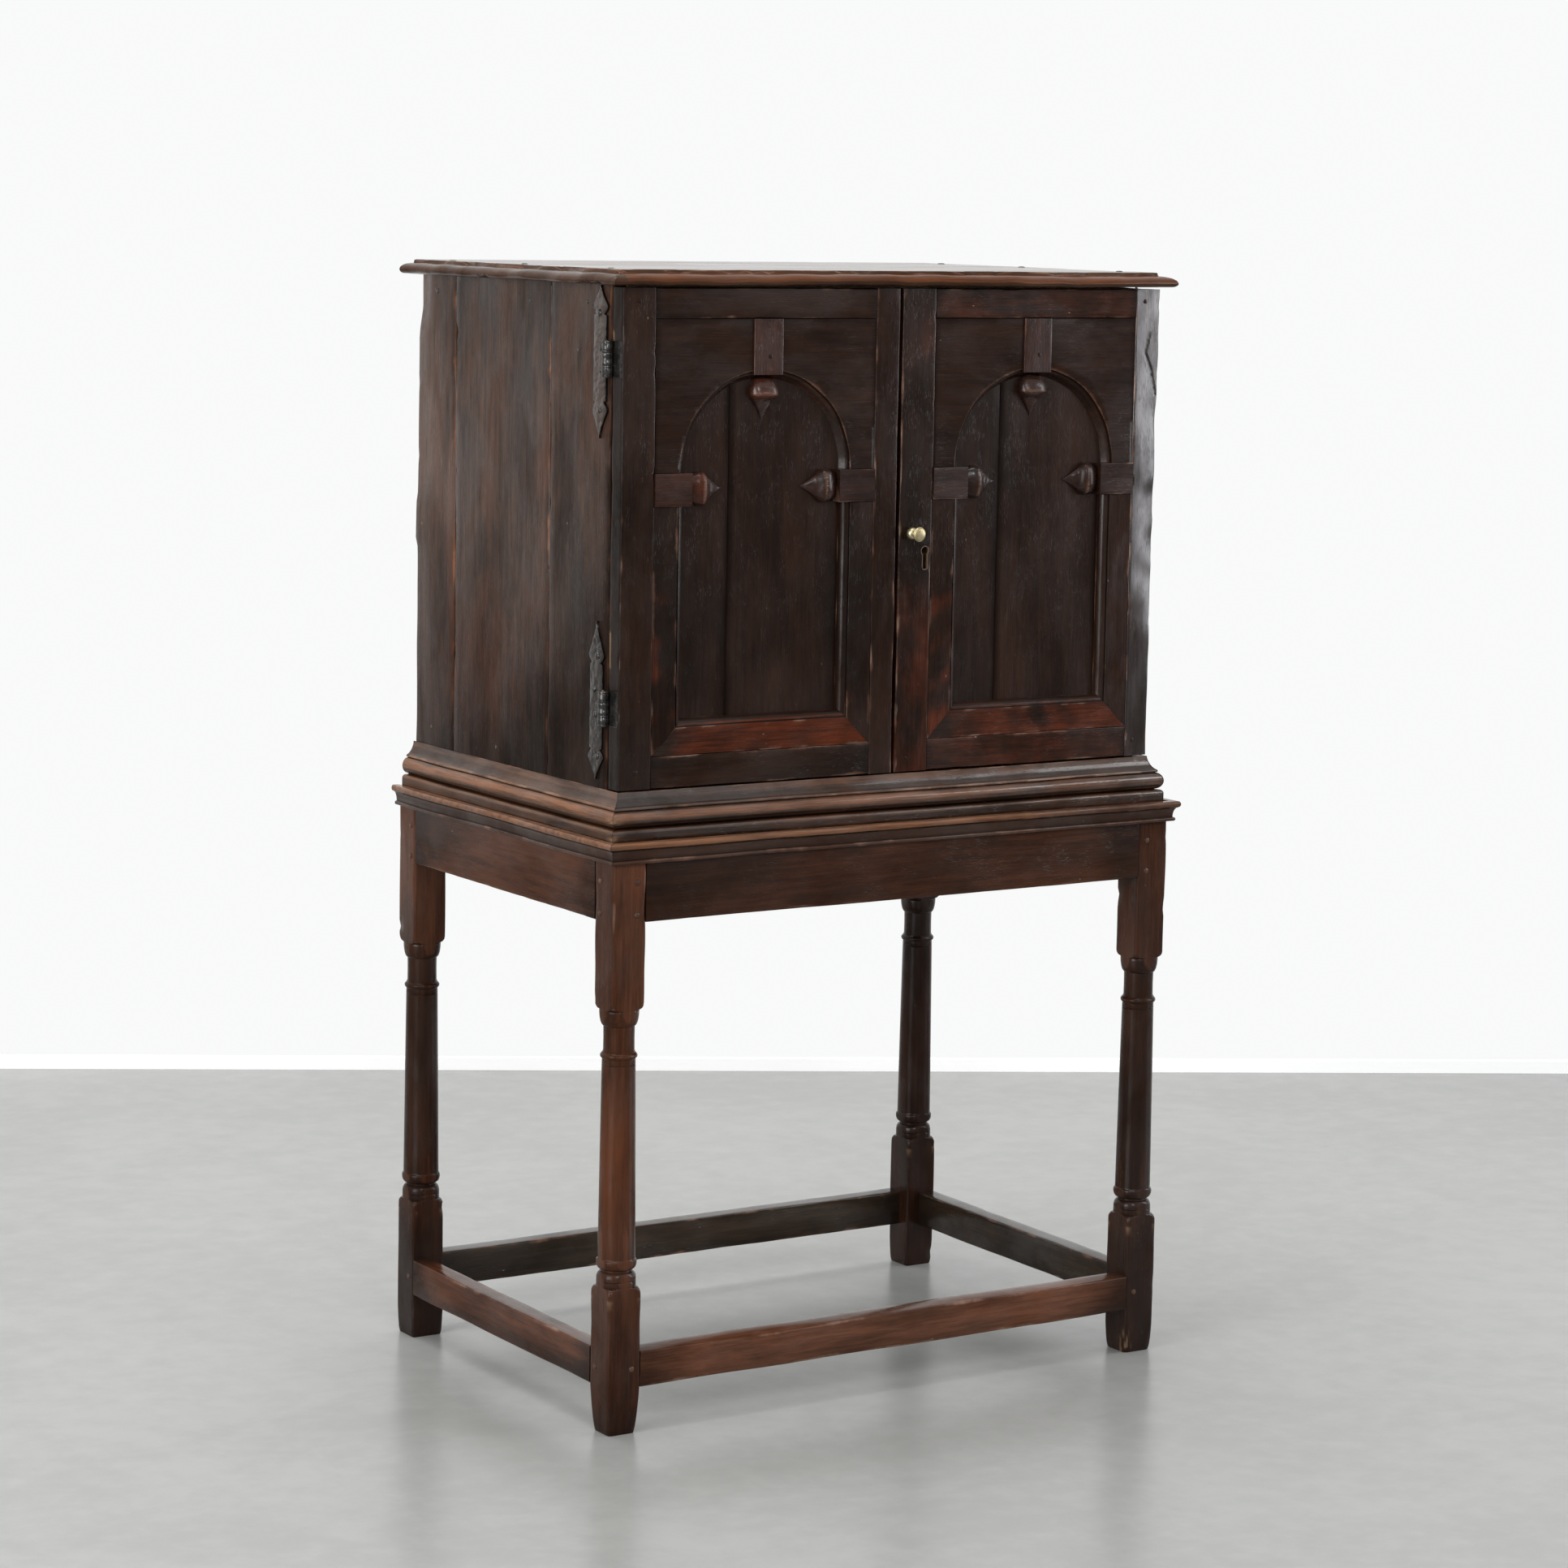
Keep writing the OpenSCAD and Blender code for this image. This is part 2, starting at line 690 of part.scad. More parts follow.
// Rail behind the front moulding, nailed to the front edges of the sides
module plinth_rail() {
  color(case_oak)
    translate([-half_case, door_front_y, stand_h])
      cube([case_w, case_front_y - door_front_y, base_h]);
}

// Front and rear edges of the three boards of a side
side_edges = [
  case_front_y,
  door_front_y + door_t + door_gap_back + side_front_w,
  case_back_y - side_rear_w,
  case_back_y
];

// One upright board of a side: 0 front, 1 middle, 2 rear
module side_board(hand, number) {
  y0 = side_edges[number] + (number > 0 ? board_gap / 2 : 0);
  y1 = side_edges[number + 1] - (number < 2 ? board_gap / 2 : 0);
  color(case_oak)
    mirror([hand < 0 ? 1 : 0, 0, 0])
      difference() {
        translate([inner_x, y0, stand_h])
          board_z(side_t, y1 - y0, case_top - stand_h);
        translate([inner_x - over, y0 - over, bottom_top - bottom_t - joint_fit])
          cube([bottom_groove + over, y1 - y0 + 2 * over, bottom_t + 2 * joint_fit]);
        if (number == 2)
          translate([inner_x - over, case_back_y - back_t - joint_fit, stand_h - over])
            cube([side_t / 2 + over, back_t + joint_fit + over, case_top - stand_h + 2 * over]);
        if (number == 0 && hand > 0)
          translate([inner_x - over, y0, case_top])
            rotate([90, 0, 90])
              linear_extrude(side_t + 2 * over)
                polygon([
                  [-over, over], [-over, -top_lift], [0, -top_lift], [y1 - y0, 0], [y1 - y0, over]
                ]);
      }
}
module left_side_front_board() { side_board(-1, 0); }
module left_side_middle_board() { side_board(-1, 1); }
module left_side_rear_board() { side_board(-1, 2); }
module right_side_front_board() { side_board(1, 0); }
module right_side_middle_board() { side_board(1, 1); }
module right_side_rear_board() { side_board(1, 2); }

// Upright boards of the back, let into the rear boards of the sides
back_half = inner_x + side_t / 2 - joint_fit;
back_board_w = 2 * back_half / back_count;
module back_boards() {
  color(plain_oak)
    for (i = [0 : back_count - 1])
      translate([-back_half + i * back_board_w + board_gap / 2, case_back_y - back_t, stand_h])
        board_z(back_board_w - board_gap, back_t, case_top - stand_h);
}

module bottom_board() {
  color(plain_oak)
    translate([-inner_x - bottom_groove + joint_fit, case_front_y, bottom_top - bottom_t])
      cube([2 * (inner_x + bottom_groove - joint_fit),
            case_back_y - back_t - joint_fit - case_front_y, bottom_t]);
}

// Where the upright bolt of the left door runs
door_bolt_x = -meeting_gap / 2 - door_bolt_in;
door_bolt_r = door_bolt_d / 2;
door_bolt_y = door_back_y + bolt_plate_t + slide_fit + door_bolt_r;
bolt_notch = door_bolt_r + 2 * slide_fit;
bolt_notch_spare = 2;

// Rail behind the door tops, notched for the upright bolt and open at its top right end
module head_rail() {
  color(plain_oak)
    difference() {
      translate([-inner_x, case_front_y, head_rail_z])
        cube([2 * inner_x, head_rail_t, head_rail_h]);
      translate([door_bolt_x - bolt_notch, case_front_y - over, head_rail_z - over])
        cube([2 * bolt_notch, door_bolt_y + bolt_notch - case_front_y + over,
              door_bolt_travel + bolt_notch_spare + over]);
      translate([inner_x, case_front_y - over, case_top])
        rotate([-90, 0, 0])
          linear_extrude(head_rail_t + 2 * over)
            polygon([[-top_lift_run, 0], [over, top_lift], [over, -over], [-top_lift_run, -over]]);
    }
}

// Shelf runners and the battens that hold the top
batten_y0 = case_front_y + head_rail_t + batten_setback;
batten_y1 = case_back_y - back_t - joint_fit;
module case_battens() {
  color(plain_oak)
    for (hand = [0, 1])
      mirror([hand, 0, 0]) {
        translate([inner_x - batten_w, case_front_y + shelf_setback, shelf_z - batten_w])
          cube([batten_w, batten_y1 - case_front_y - shelf_setback, batten_w]);
        translate([inner_x - batten_w, batten_y0, case_top - batten_w])
          cube([batten_w, batten_y1 - batten_y0, batten_w]);
      }
}

module shelf() {
  color(plain_oak)
    translate([-inner_x + board_gap, case_front_y + shelf_setback, shelf_z])
      cube([2 * (inner_x - board_gap), batten_y1 - case_front_y - shelf_setback, shelf_t]);
}

// Edge of the top: rounded under side, thumb moulding and a small step.
// Each point gives how far it lies inside the outer edge and how high it is.
top_slab = top_t - top_step_h;
top_under_h = 5;
top_under_w = 6;
top_under = quarter([top_under_w, 0], [0, top_under_h], 4, false);
top_edge_points = concat(
  top_under,
  quarter([0, top_under_h], [top_thumb_w, top_slab], 7, true),
  [[top_thumb_w, top_t]]
);

// Cross section of the top with the edge at one or both sides
function top_section(width, both) = concat(
  both ? [] : [[width, 0]],
  top_edge_points,
  both
    ? [for (i = [len(top_edge_points) - 1 : -1 : 0])
        [width - top_edge_points[i][0], top_edge_points[i][1]]]
    : [[width, top_t]]
);
top_w = case_w + top_left + top_right;
top_y0 = door_front_y - top_front;
top_joint_y = case_back_y - top_rear_w;
module top_front_board() {
  color(top_oak)
    translate([-half_case - top_left, top_y0, case_top])
      intersection() {
        rotate([90, 0, 90])
          linear_extrude(top_w)
            polygon(top_section(top_joint_y - board_gap / 2 - top_y0, false));
        translate([0, top_joint_y - top_y0, 0])
          rotate([90, 0, 0])
            linear_extrude(top_joint_y - top_y0)
              polygon(top_section(top_w, true));
      }
}
module top_rear_board() {
  color(top_oak)
    translate([-half_case - top_left, case_back_y, case_top])
      rotate([90, 0, 0])
        linear_extrude(top_rear_w - board_gap / 2)
          polygon(top_section(top_w, true));
}

// Widths of a door and its opening. hand is -1 for the left door and 1 for the right one.
door_w = half_case - meeting_gap / 2;
function hinge_stile_w(hand) = hand < 0 ? left_hinge_stile_w : right_hinge_stile_w;
function meeting_stile_w(hand) = hand < 0 ? left_meeting_stile_w : right_meeting_stile_w;
function opening_w(hand) = door_w - hinge_stile_w(hand) - meeting_stile_w(hand);
function opening_mid(hand) = hinge_stile_w(hand) + opening_w(hand) / 2;
groove_y = recess + (panel_t - door_tenon_t) / 2;

// Puts a door drawn from its hinge edge into its place: x runs from the hinge edge inwards,
// y from the face to the back and z from the door's bottom.
module on_door(hand) {
  translate([hand * half_case, door_front_y, door_z])
    mirror([hand > 0 ? 1 : 0, 0, 0])
      children();
}

// Groove for the panel along the inner edge of a stile whose edge is at x, cut towards -X
module stile_groove(x) {
  translate([x - panel_groove, recess - joint_fit, door_bottom_rail_w - panel_groove])
    cube([panel_groove + over, panel_t + 2 * joint_fit,
          door_h - door_bottom_rail_w - door_top_rail_w + 2 * panel_groove]);
}

// Mortises for the two rails of a door, cut from the inner edge at x towards -X
tenon_edge = 8;
module stile_mortises(x) {
  translate([x - door_tenon_l - joint_fit, groove_y - joint_fit, tenon_edge - joint_fit])
    cube([door_tenon_l + joint_fit + over, door_tenon_t + 2 * joint_fit,
          door_bottom_rail_w - panel_groove - tenon_edge + 2 * joint_fit]);
  translate([x - door_tenon_l - joint_fit, groove_y - joint_fit,
             door_h - door_top_rail_w + panel_groove - joint_fit])
    cube([door_tenon_l + joint_fit + over, door_tenon_t + 2 * joint_fit,
          door_top_rail_w - panel_groove - tenon_edge + 2 * joint_fit]);
}

// Heights of the two hinges above the door's bottom
hinge_heights = [hinge_low, door_h - hinge_high];
axis_out = knuckle_r + knuckle_clear;
axis_in = door_gap_back / 2;

module hinge_stile(hand) {
  width = hinge_stile_w(hand);
  color(case_oak)
    on_door(hand)
      difference() {
        board_z(width, door_t, door_h);
        stile_groove(width);
        stile_mortises(width);
        for (z = hinge_heights)
          translate([-over, door_t + axis_in - door_leaf_w - joint_fit, z - knuckle_h / 2 - joint_fit])
            cube([leaf_t + over, door_leaf_w + over + joint_fit, knuckle_h + 2 * joint_fit]);
      }
}
module left_door_hinge_stile() { hinge_stile(-1); }
module right_door_hinge_stile() { hinge_stile(1); }

// A meeting stile drawn with its outer edge at x = 0 and its groove at its far edge
module meeting_stile_blank(hand) {
  width = meeting_stile_w(hand);
  difference() {
    board_z(width, door_t, door_h);
    stile_groove(width);
    stile_mortises(width);
  }
}
module on_meeting_edge(hand) {
  translate([hand * meeting_gap / 2, door_front_y, door_z])
    mirror([hand < 0 ? 1 : 0, 0, 0])
      children();
}
module left_door_meeting_stile() {
  color(case_oak)
    on_meeting_edge(-1)
      meeting_stile_blank(-1);
}

// Keyhole shape: a round end over a slot, grown by a margin
module keyhole_shape(margin) {
  circle(r = keyhole_d / 2 + margin);
  translate([-keyhole_slot_w / 2 - margin, -keyhole_slot_l - margin])
    square([keyhole_slot_w + 2 * margin, keyhole_slot_l + margin]);
}

// Puts a flat shape drawn in X and Z on the door's face and carries it back by a length
module from_face(x, z, y, length) {
  translate([x, y + length, z])
    rotate([90, 0, 0])
      linear_extrude(length)
        children();
}
module right_door_meeting_stile() {
  color(red_oak)
    on_meeting_edge(1)
      difference() {
        meeting_stile_blank(1);
        translate([knob_in, -over, knob_z])
          rotate([-90, 0, 0])
            cylinder(r = knob_shank_d / 2 + joint_fit / 2, h = door_t + 2 * over);
        from_face(keyhole_in, keyhole_z, -over, door_t + 2 * over)
          keyhole_shape(0);
        from_face(keyhole_in, keyhole_z, -over, liner_l + joint_fit + over)
          keyhole_shape(liner_t + joint_fit);
      }
}

// A door rail between the stiles, with tenons at both ends and a groove along one edge
module door_rail(hand, height, at_top) {
  width = opening_w(hand);
  translate([hinge_stile_w(hand), 0, at_top ? door_h - height : 0])
    difference() {
      union() {
        board_x(width, door_t, height);
        translate([-door_tenon_l, groove_y, at_top ? panel_groove : tenon_edge])
          cube([width + 2 * door_tenon_l, door_tenon_t, height - panel_groove - tenon_edge]);
      }
      translate([-door_tenon_l - over, recess - joint_fit, at_top ? -over : height - panel_groove])
        cube([width + 2 * door_tenon_l + 2 * over, panel_t + 2 * joint_fit, panel_groove + over]);
    }
}
module left_door_top_rail() {
  color(case_oak) on_door(-1) door_rail(-1, door_top_rail_w, true);
}
module left_door_bottom_rail() {
  color(case_oak) on_door(-1) door_rail(-1, door_bottom_rail_w, false);
}
module right_door_top_rail() {
  color(case_oak) on_door(1) door_rail(1, door_top_rail_w, true);
}
module right_door_bottom_rail() {
  color(red_oak) on_door(1) door_rail(1, door_bottom_rail_w, false);
}

// The two upright boards of a door panel
panel_in = panel_groove - joint_fit;
module panel_pair(hand) {
  x0 = hinge_stile_w(hand) - panel_in;
  x1 = hinge_stile_w(hand) + opening_w(hand) + panel_in;
  joint_x = opening_mid(hand) + hand * panel_joint;
  z0 = door_bottom_rail_w - panel_in;
  z1 = door_h - door_top_rail_w + panel_in;
  on_door(hand)
    translate([0, recess, z0]) {
      translate([x0, 0, 0])
        board_z(joint_x - board_gap / 2 - x0, panel_t, z1 - z0);
      translate([joint_x + board_gap / 2, 0, 0])
        board_z(x1 - joint_x - board_gap / 2, panel_t, z1 - z0);
    }
}
module left_door_panel() {
  color(panel_oak) panel_pair(-1);
}
// The keyhole goes on through the panel's tongue where it lies in the stile's groove
module right_door_panel() {
  color(panel_oak)
    difference() {
      panel_pair(1);
      on_meeting_edge(1)
        from_face(keyhole_in, keyhole_z, recess - over, panel_t + 2 * over)
          keyhole_shape(joint_fit);
    }
}

// Board over the panel with the arched opening and the seat of the key block
module arch_board(hand) {
  mid = opening_mid(hand);
  color(panel_oak)
    on_door(hand)
      translate([0, 0, arch_spring])
        difference() {
          translate([hinge_stile_w(hand) + joint_fit, trim_setback, joint_fit])
            cube([opening_w(hand) - 2 * joint_fit, recess - trim_setback,
                  arch_board_h - 2 * joint_fit]);
          translate([mid, -over, 0])
            rotate([-90, 0, 0])
              cylinder(r = arch_r, h = arch_step + over);
          translate([mid, arch_step - sliver, 0])
            rotate([-90, 0, 0])
              cylinder(r1 = arch_r - arch_step, r2 = arch_r - arch_band,
                       h = recess - arch_step + 2 * sliver);
          translate([mid - key_w / 2 - joint_fit, -over, arch_board_h - key_h - joint_fit])
            cube([key_w + 2 * joint_fit, key_seat + joint_fit + over, key_h + 2 * joint_fit]);
        }
}
module left_door_arch_board() { arch_board(-1); }
module right_door_arch_board() { arch_board(1); }

// Profile of a panel moulding: distance from the frame and depth behind the door's face
quirk_w = 1.5;
quirk_d = 2;
lip_step = 1;
lip_foot = 2;
trim_profile = concat(
  [[joint_fit, recess], [joint_fit, trim_setback], [flat_w, trim_setback]],
  [[flat_w, trim_setback + quirk_d], [flat_w + quirk_w, trim_setback + quirk_d]],
  quarter([flat_w + quirk_w, trim_setback + lip_step], [flat_w + lip_w, recess - lip_foot], 6, false),
  [[flat_w + lip_w, recess]]
);
trim_top = arch_spring - impost_h;

// Uprights run from the foot of the opening to the impost, mitred to the piece below
module trim_upright(length) {
  intersection() {
    linear_extrude(length)
      polygon(trim_profile);
    translate([0, recess + over, 0])
      rotate([90, 0, 0])
        linear_extrude(recess + 2 * over)
          polygon([[0, 0], [length, length], [0, length]]);
  }
}
module mouldings(hand) {
  width = opening_w(hand);
  length = trim_top - door_bottom_rail_w;
  color(red_oak)
    on_door(hand)
      translate([hinge_stile_w(hand), 0, door_bottom_rail_w]) {
        trim_upright(length);
        translate([width, 0, 0])
          mirror([1, 0, 0])
            trim_upright(length);
        intersection() {
          rotate([90, 0, 90])
            linear_extrude(width)
              polygon([for (p = trim_profile) [p[1], p[0]]]);
          translate([0, recess + over, 0])
            rotate([90, 0, 0])
              linear_extrude(recess + 2 * over)
                polygon([
                  [joint_fit, 0], [width - joint_fit, 0],
                  [width - joint_fit - length / 2, length / 2], [joint_fit + length / 2, length / 2]
                ]);
        }
      }
}
module left_door_mouldings() { mouldings(-1); }
module right_door_mouldings() { mouldings(1); }

// A carved drop lying along Z from its head at 0 down to its point, half sunk behind y = 0.
// The head swells to the full width and the tail narrows in an ogee.
drop_sink = 3;
drop_head = 0.2;
drop_crown = 0.62;
drop_steps = 8;
module carved_drop(width, length) {
  r = width / 2;
  head = drop_head * length;
  points = concat(
    [[0, 0]],
    quarter([drop_crown * r, 0], [r, -head], 4, false),
    [for (i = [1 : drop_steps])
      [r * (1 + cos(180 * i / drop_steps)) / 2, -head - (length - head) * i / drop_steps]]
  );
  intersection() {
    translate([0, drop_sink, 0])
      rotate_extrude()
        polygon(points);
    translate([-width, -width, -length - over])
      cube([2 * width, width, length + 2 * over]);
  }
}

// Key block and imposts with their drops
module carved_blocks(hand) {
  mid = opening_mid(hand);
  left = hinge_stile_w(hand);
  right = left + opening_w(hand);
  key_z = door_h - door_top_rail_w - key_h;
  drop_z = min(key_z, arch_spring + arch_r - arch_band) - drop_gap;
  impost_mid = trim_top + impost_h / 2;
  color(red_oak)
    on_door(hand) {
      translate([mid - key_w / 2, -block_proud, key_z])
        cube([key_w, block_proud + key_seat, key_h - joint_fit]);
      translate([mid, recess, drop_z])
        carved_drop(key_drop_w, key_drop_l);
      translate([left + joint_fit, -block_proud, trim_top + joint_fit])
        cube([impost_w - joint_fit, block_proud + recess, impost_h - joint_fit]);
      translate([right - impost_w, -block_proud, trim_top + joint_fit])
        cube([impost_w - joint_fit, block_proud + recess, impost_h - joint_fit]);
      translate([left + impost_w + drop_gap, recess, impost_mid])
        rotate([0, -90, 0])
          carved_drop(impost_drop_w, impost_drop_l);
      translate([right - impost_w - drop_gap, recess, impost_mid])
        rotate([0, 90, 0])
          carved_drop(impost_drop_w, impost_drop_l);
    }
}
module left_door_carved_blocks() { carved_blocks(-1); }
module right_door_carved_blocks() { carved_blocks(1); }

// Puts hinge parts at both heights of a door: the side face is at x = 0, outwards is -X,
// the pin's height is z = 0 and its depth is y = 0
module at_hinge(hand, upper) {
  translate([hand * half_case, door_back_y + axis_in, door_z + hinge_heights[upper]])
    mirror([hand > 0 ? 1 : 0, 0, 0])
      children();
}
module at_hinges(hand) {
  for (upper = [0, 1])
    at_hinge(hand, upper)
      children();
}

// Half width of a pointed leaf end at a height over the strap: a waist, a swelling and a point
spear_swell = 12;
spear_power = 1.3;
spear_steps = 14;
spear_sink = 1;
function spear_half(h, length) =
  h < spear_swell
    ? waist_w / 2 + (spear_w - waist_w) / 2 * sin(90 * h / spear_swell)
    : spear_w / 2 * pow(1 - (h - spear_swell) / (length - spear_swell), spear_power);
module spear(length) {
  heights = [for (i = [0 : spear_steps - 1]) length * i / spear_steps];
  polygon(concat(
    [[waist_w / 2, -spear_sink]],
    [for (h = heights) [spear_half(h, length), h]],
    [[0, length]],
    [for (i = [spear_steps - 1 : -1 : 0]) [-spear_half(heights[i], length), heights[i]]],
    [[-waist_w / 2, -spear_sink]]
  ));
}

// Outline of the side leaf in depth and height
module side_leaf_shape(upper) {
  translate([strap_back, -strap_h / 2])
    square([strap_w, strap_h]);
  translate([strap_back + strap_w / 2, strap_h / 2])
    spear(upper == 1 ? high_spear_up : low_spear_up);
  translate([strap_back + strap_w / 2, -strap_h / 2])
    mirror([0, 1])
      spear(upper == 1 ? high_spear_down : low_spear_down);
  difference() {
    translate([0, -knuckle_h / 2])
      square([strap_back + over, knuckle_h]);
    translate([-over, -knuckle_mid / 2 - knuckle_gap])
      square([knuckle_r + knuckle_clear + over, knuckle_mid + 2 * knuckle_gap]);
  }
}

module hinge_plates(hand) {
  end_h = (knuckle_h - knuckle_mid) / 2 - knuckle_gap;
  color(iron)
    for (upper = [0, 1])
      at_hinge(hand, upper)
        difference() {
          union() {
            translate([-leaf_t, 0, 0])
              rotate([90, 0, 90])
                linear_extrude(leaf_t)
                  side_leaf_shape(upper);
            for (z = [-knuckle_h / 2, knuckle_h / 2 - end_h])
              translate([-axis_out, 0, z])
                cylinder(r = knuckle_r, h = end_h);
          }
          translate([-axis_out, 0, -knuckle_h / 2 - over])
            cylinder(r = pin_r, h = knuckle_h + 2 * over);
        }
}
module left_hinge_plates() { hinge_plates(-1); }
module right_hinge_plates() { hinge_plates(1); }

module hinge_pins() {
  color(iron)
    for (hand = [-1, 1])
      at_hinges(hand)
        translate([-axis_out, 0, -knuckle_h / 2 - pin_out])
          cylinder(r = pin_r, h = knuckle_h + 2 * pin_out);
}

// Leaf let into the door's edge, with the middle knuckle
knuckle_weld = 0.4;
door_leaf_out = knuckle_weld + knuckle_clear;
module door_hinge_leaves(hand) {
  color(iron)
    at_hinges(hand)
      difference() {
        union() {
          translate([-door_leaf_out, -door_leaf_w, -knuckle_h / 2])
            cube([door_leaf_out + leaf_t - joint_fit, door_leaf_w, knuckle_h]);
          translate([-axis_out, 0, -knuckle_mid / 2])
            cylinder(r = knuckle_r, h = knuckle_mid);
        }
        for (z = [-knuckle_h / 2 - over, knuckle_mid / 2])
          translate([-door_leaf_out - over, -knuckle_r - knuckle_clear, z])
            cube([door_leaf_out + leaf_t + 2 * over, knuckle_r + knuckle_clear + over,
                  (knuckle_h - knuckle_mid) / 2 + over]);
        translate([-axis_out, 0, -knuckle_mid / 2 - over])
          cylinder(r = pin_r + pin_fit, h = knuckle_mid + 2 * over);
      }
}
module left_door_hinge_leaves() { door_hinge_leaves(-1); }
module right_door_hinge_leaves() { door_hinge_leaves(1); }

// Turned knob: a domed foot, a narrow neck and a flat domed face, with its shank through the stile
knob_foot_l = 7;
knob_foot_rim = 0.8;
knob_face_l = 6;
knob_profile = concat(
  [[0, -door_t]],
  [[knob_shank_d / 2, -door_t], [knob_shank_d / 2, 0], [knob_foot_d / 2, 0]],
  quarter([knob_foot_d / 2, knob_foot_rim], [knob_neck_d / 2, knob_foot_l], 6, true),
  [[knob_neck_d / 2, knob_out - knob_face_l]],
  quarter([knob_neck_d / 2, knob_out - knob_face_l], [knob_d / 2, knob_out - knob_face_l / 2], 5, false),
  quarter([knob_d / 2, knob_out - knob_face_l / 2], [0, knob_out], 6, true)
);
module knob() {
  color(brass)
    on_meeting_edge(1)
      translate([knob_in, 0, knob_z])
        rotate([90, 0, 0])
          rotate_extrude()
            polygon(knob_profile);
}

module keyhole_liner() {
  color(brass)
    on_meeting_edge(1)
      from_face(keyhole_in, keyhole_z, 0, liner_l)
        difference() {
          keyhole_shape(liner_t);
          keyhole_shape(0);
        }
}

// Lock on the back of the right door: its case, the bolt's channel, the key's well and the drill pin.
// A key goes in with its bit down and turns up to the bolt, which lies over the keyhole.
lock_x0 = 2;
lock_wall = 2;
lock_front_wall = 1.3;
key_ease = 0.5;
key_well_r = keyhole_slot_l - key_ease;
key_well = lock_t - lock_wall;
bolt_in = 0.5;
bolt_z = keyhole_z + key_well_r - talon_d;
bolt_y = door_t + lock_front_wall + slide_fit;
drill_pin_d = 4;
module lock_case() {
  color(iron)
    on_meeting_edge(1) {
      difference() {
        translate([lock_x0, door_t, bolt_z + bolt_h + lock_rim - lock_h])
          cube([lock_w, lock_t, lock_h]);
        translate([lock_x0 - over, bolt_y - slide_fit, bolt_z - slide_fit])
          cube([over + bolt_in + bolt_l + slide_fit, bolt_t + 2 * slide_fit, bolt_h + 2 * slide_fit]);
        from_face(keyhole_in, keyhole_z, door_t - over, key_well + over)
          circle(r = key_well_r);
      }
      translate([keyhole_in, door_t - key_well / 2, keyhole_z])
        rotate([-90, 0, 0])
          cylinder(r = drill_pin_d / 2, h = 1.5 * key_well + lock_wall / 2);
    }
}

// The bolt slides towards the left door. The key's bit pushes on both walls of its notch, so the
// notch is as wide as the bit's sweep at the bolt's foot less the travel.
talon_half = sqrt(pow(key_well_r, 2) - pow(key_well_r - talon_d, 2));
module lock_bolt() {
  color(iron)
    on_meeting_edge(1)
      difference() {
        translate([lock_x0 + bolt_in, bolt_y, bolt_z])
          cube([bolt_l, bolt_t, bolt_h]);
        translate([keyhole_in - talon_half + bolt_travel, bolt_y - over, bolt_z - over])
          cube([2 * talon_half - bolt_travel, bolt_t + 2 * over, over + talon_d + key_ease]);
      }
}

// Keep on the back of the left door, a staple that the lock bolt enters
module bolt_keep() {
  color(iron)
    on_meeting_edge(-1)
      difference() {
        translate([lock_x0, door_t, bolt_z - slide_fit - keep_wall])
          cube([keep_w, bolt_y - door_t + bolt_t + slide_fit + keep_wall / 2,
                bolt_h + 2 * (slide_fit + keep_wall)]);
        translate([lock_x0 - over, door_t - over, bolt_z - slide_fit])
          cube([keep_w + 2 * over, bolt_y - door_t + over + bolt_t + slide_fit, bolt_h + 2 * slide_fit]);
      }
}

// Upright bolt of the left door with its plate and two staples
bolt_plate_drop = 3;
bolt_head_gap = 1;
bolt_plate_rim = 1;
staple_end = 4;
bolt_plate_z1 = head_rail_z - bolt_plate_drop;
bolt_plate_z0 = bolt_plate_z1 - bolt_plate_h;
bolt_rest_top = head_rail_z - bolt_head_gap;
staple_r = door_bolt_r + slide_fit + staple_wall;
module door_bolt_plate() {
  color(iron)
    difference() {
      union() {
        translate([door_bolt_x - staple_r - bolt_plate_rim, door_back_y, bolt_plate_z0])
          cube([2 * (staple_r + bolt_plate_rim), bolt_plate_t, bolt_plate_h]);
        for (z = [bolt_plate_z0 + staple_end, bolt_plate_z1 - staple_h - staple_end])
          translate([door_bolt_x - staple_r, door_back_y, z])
            cube([2 * staple_r, door_bolt_y + staple_r - door_back_y, staple_h]);
      }
      translate([door_bolt_x, door_bolt_y, bolt_plate_z0 - over])
        cylinder(r = door_bolt_r + slide_fit, h = bolt_plate_h + 2 * over);
    }
}
module door_bolt() {
  handle_r = 3;
  handle_z = (bolt_plate_z0 + bolt_plate_z1 - door_bolt_travel) / 2;
  color(iron) {
    translate([door_bolt_x, door_bolt_y, bolt_rest_top - door_bolt_l])
      cylinder(r = door_bolt_r, h = door_bolt_l);
    translate([door_bolt_x, door_bolt_y, handle_z])
      rotate([-90, 0, 0])
        cylinder(r = handle_r, h = bolt_handle_l + door_bolt_r);
  }
}

leg_front_left();
leg_front_right();
leg_back_left();
leg_back_right();
rail_front();
rail_back();
rail_left();
rail_right();
stretcher_front();
stretcher_back();
stretcher_left();
stretcher_right();
stand_pegs();
stand_moulding();
base_moulding_front();
base_moulding_left();
base_moulding_right();
plinth_rail();
left_side_front_board();
left_side_middle_board();
left_side_rear_board();
right_side_front_board();
right_side_middle_board();
right_side_rear_board();
back_boards();
bottom_board();
head_rail();
case_battens();
shelf();
top_front_board();
top_rear_board();
left_door_hinge_stile();
left_door_meeting_stile();
left_door_top_rail();
left_door_bottom_rail();
left_door_panel();
left_door_arch_board();
left_door_mouldings();
left_door_carved_blocks();
right_door_hinge_stile();
right_door_meeting_stile();
right_door_top_rail();
right_door_bottom_rail();
right_door_panel();
right_door_arch_board();
right_door_mouldings();
right_door_carved_blocks();
left_hinge_plates();
right_hinge_plates();
hinge_pins();
left_door_hinge_leaves();
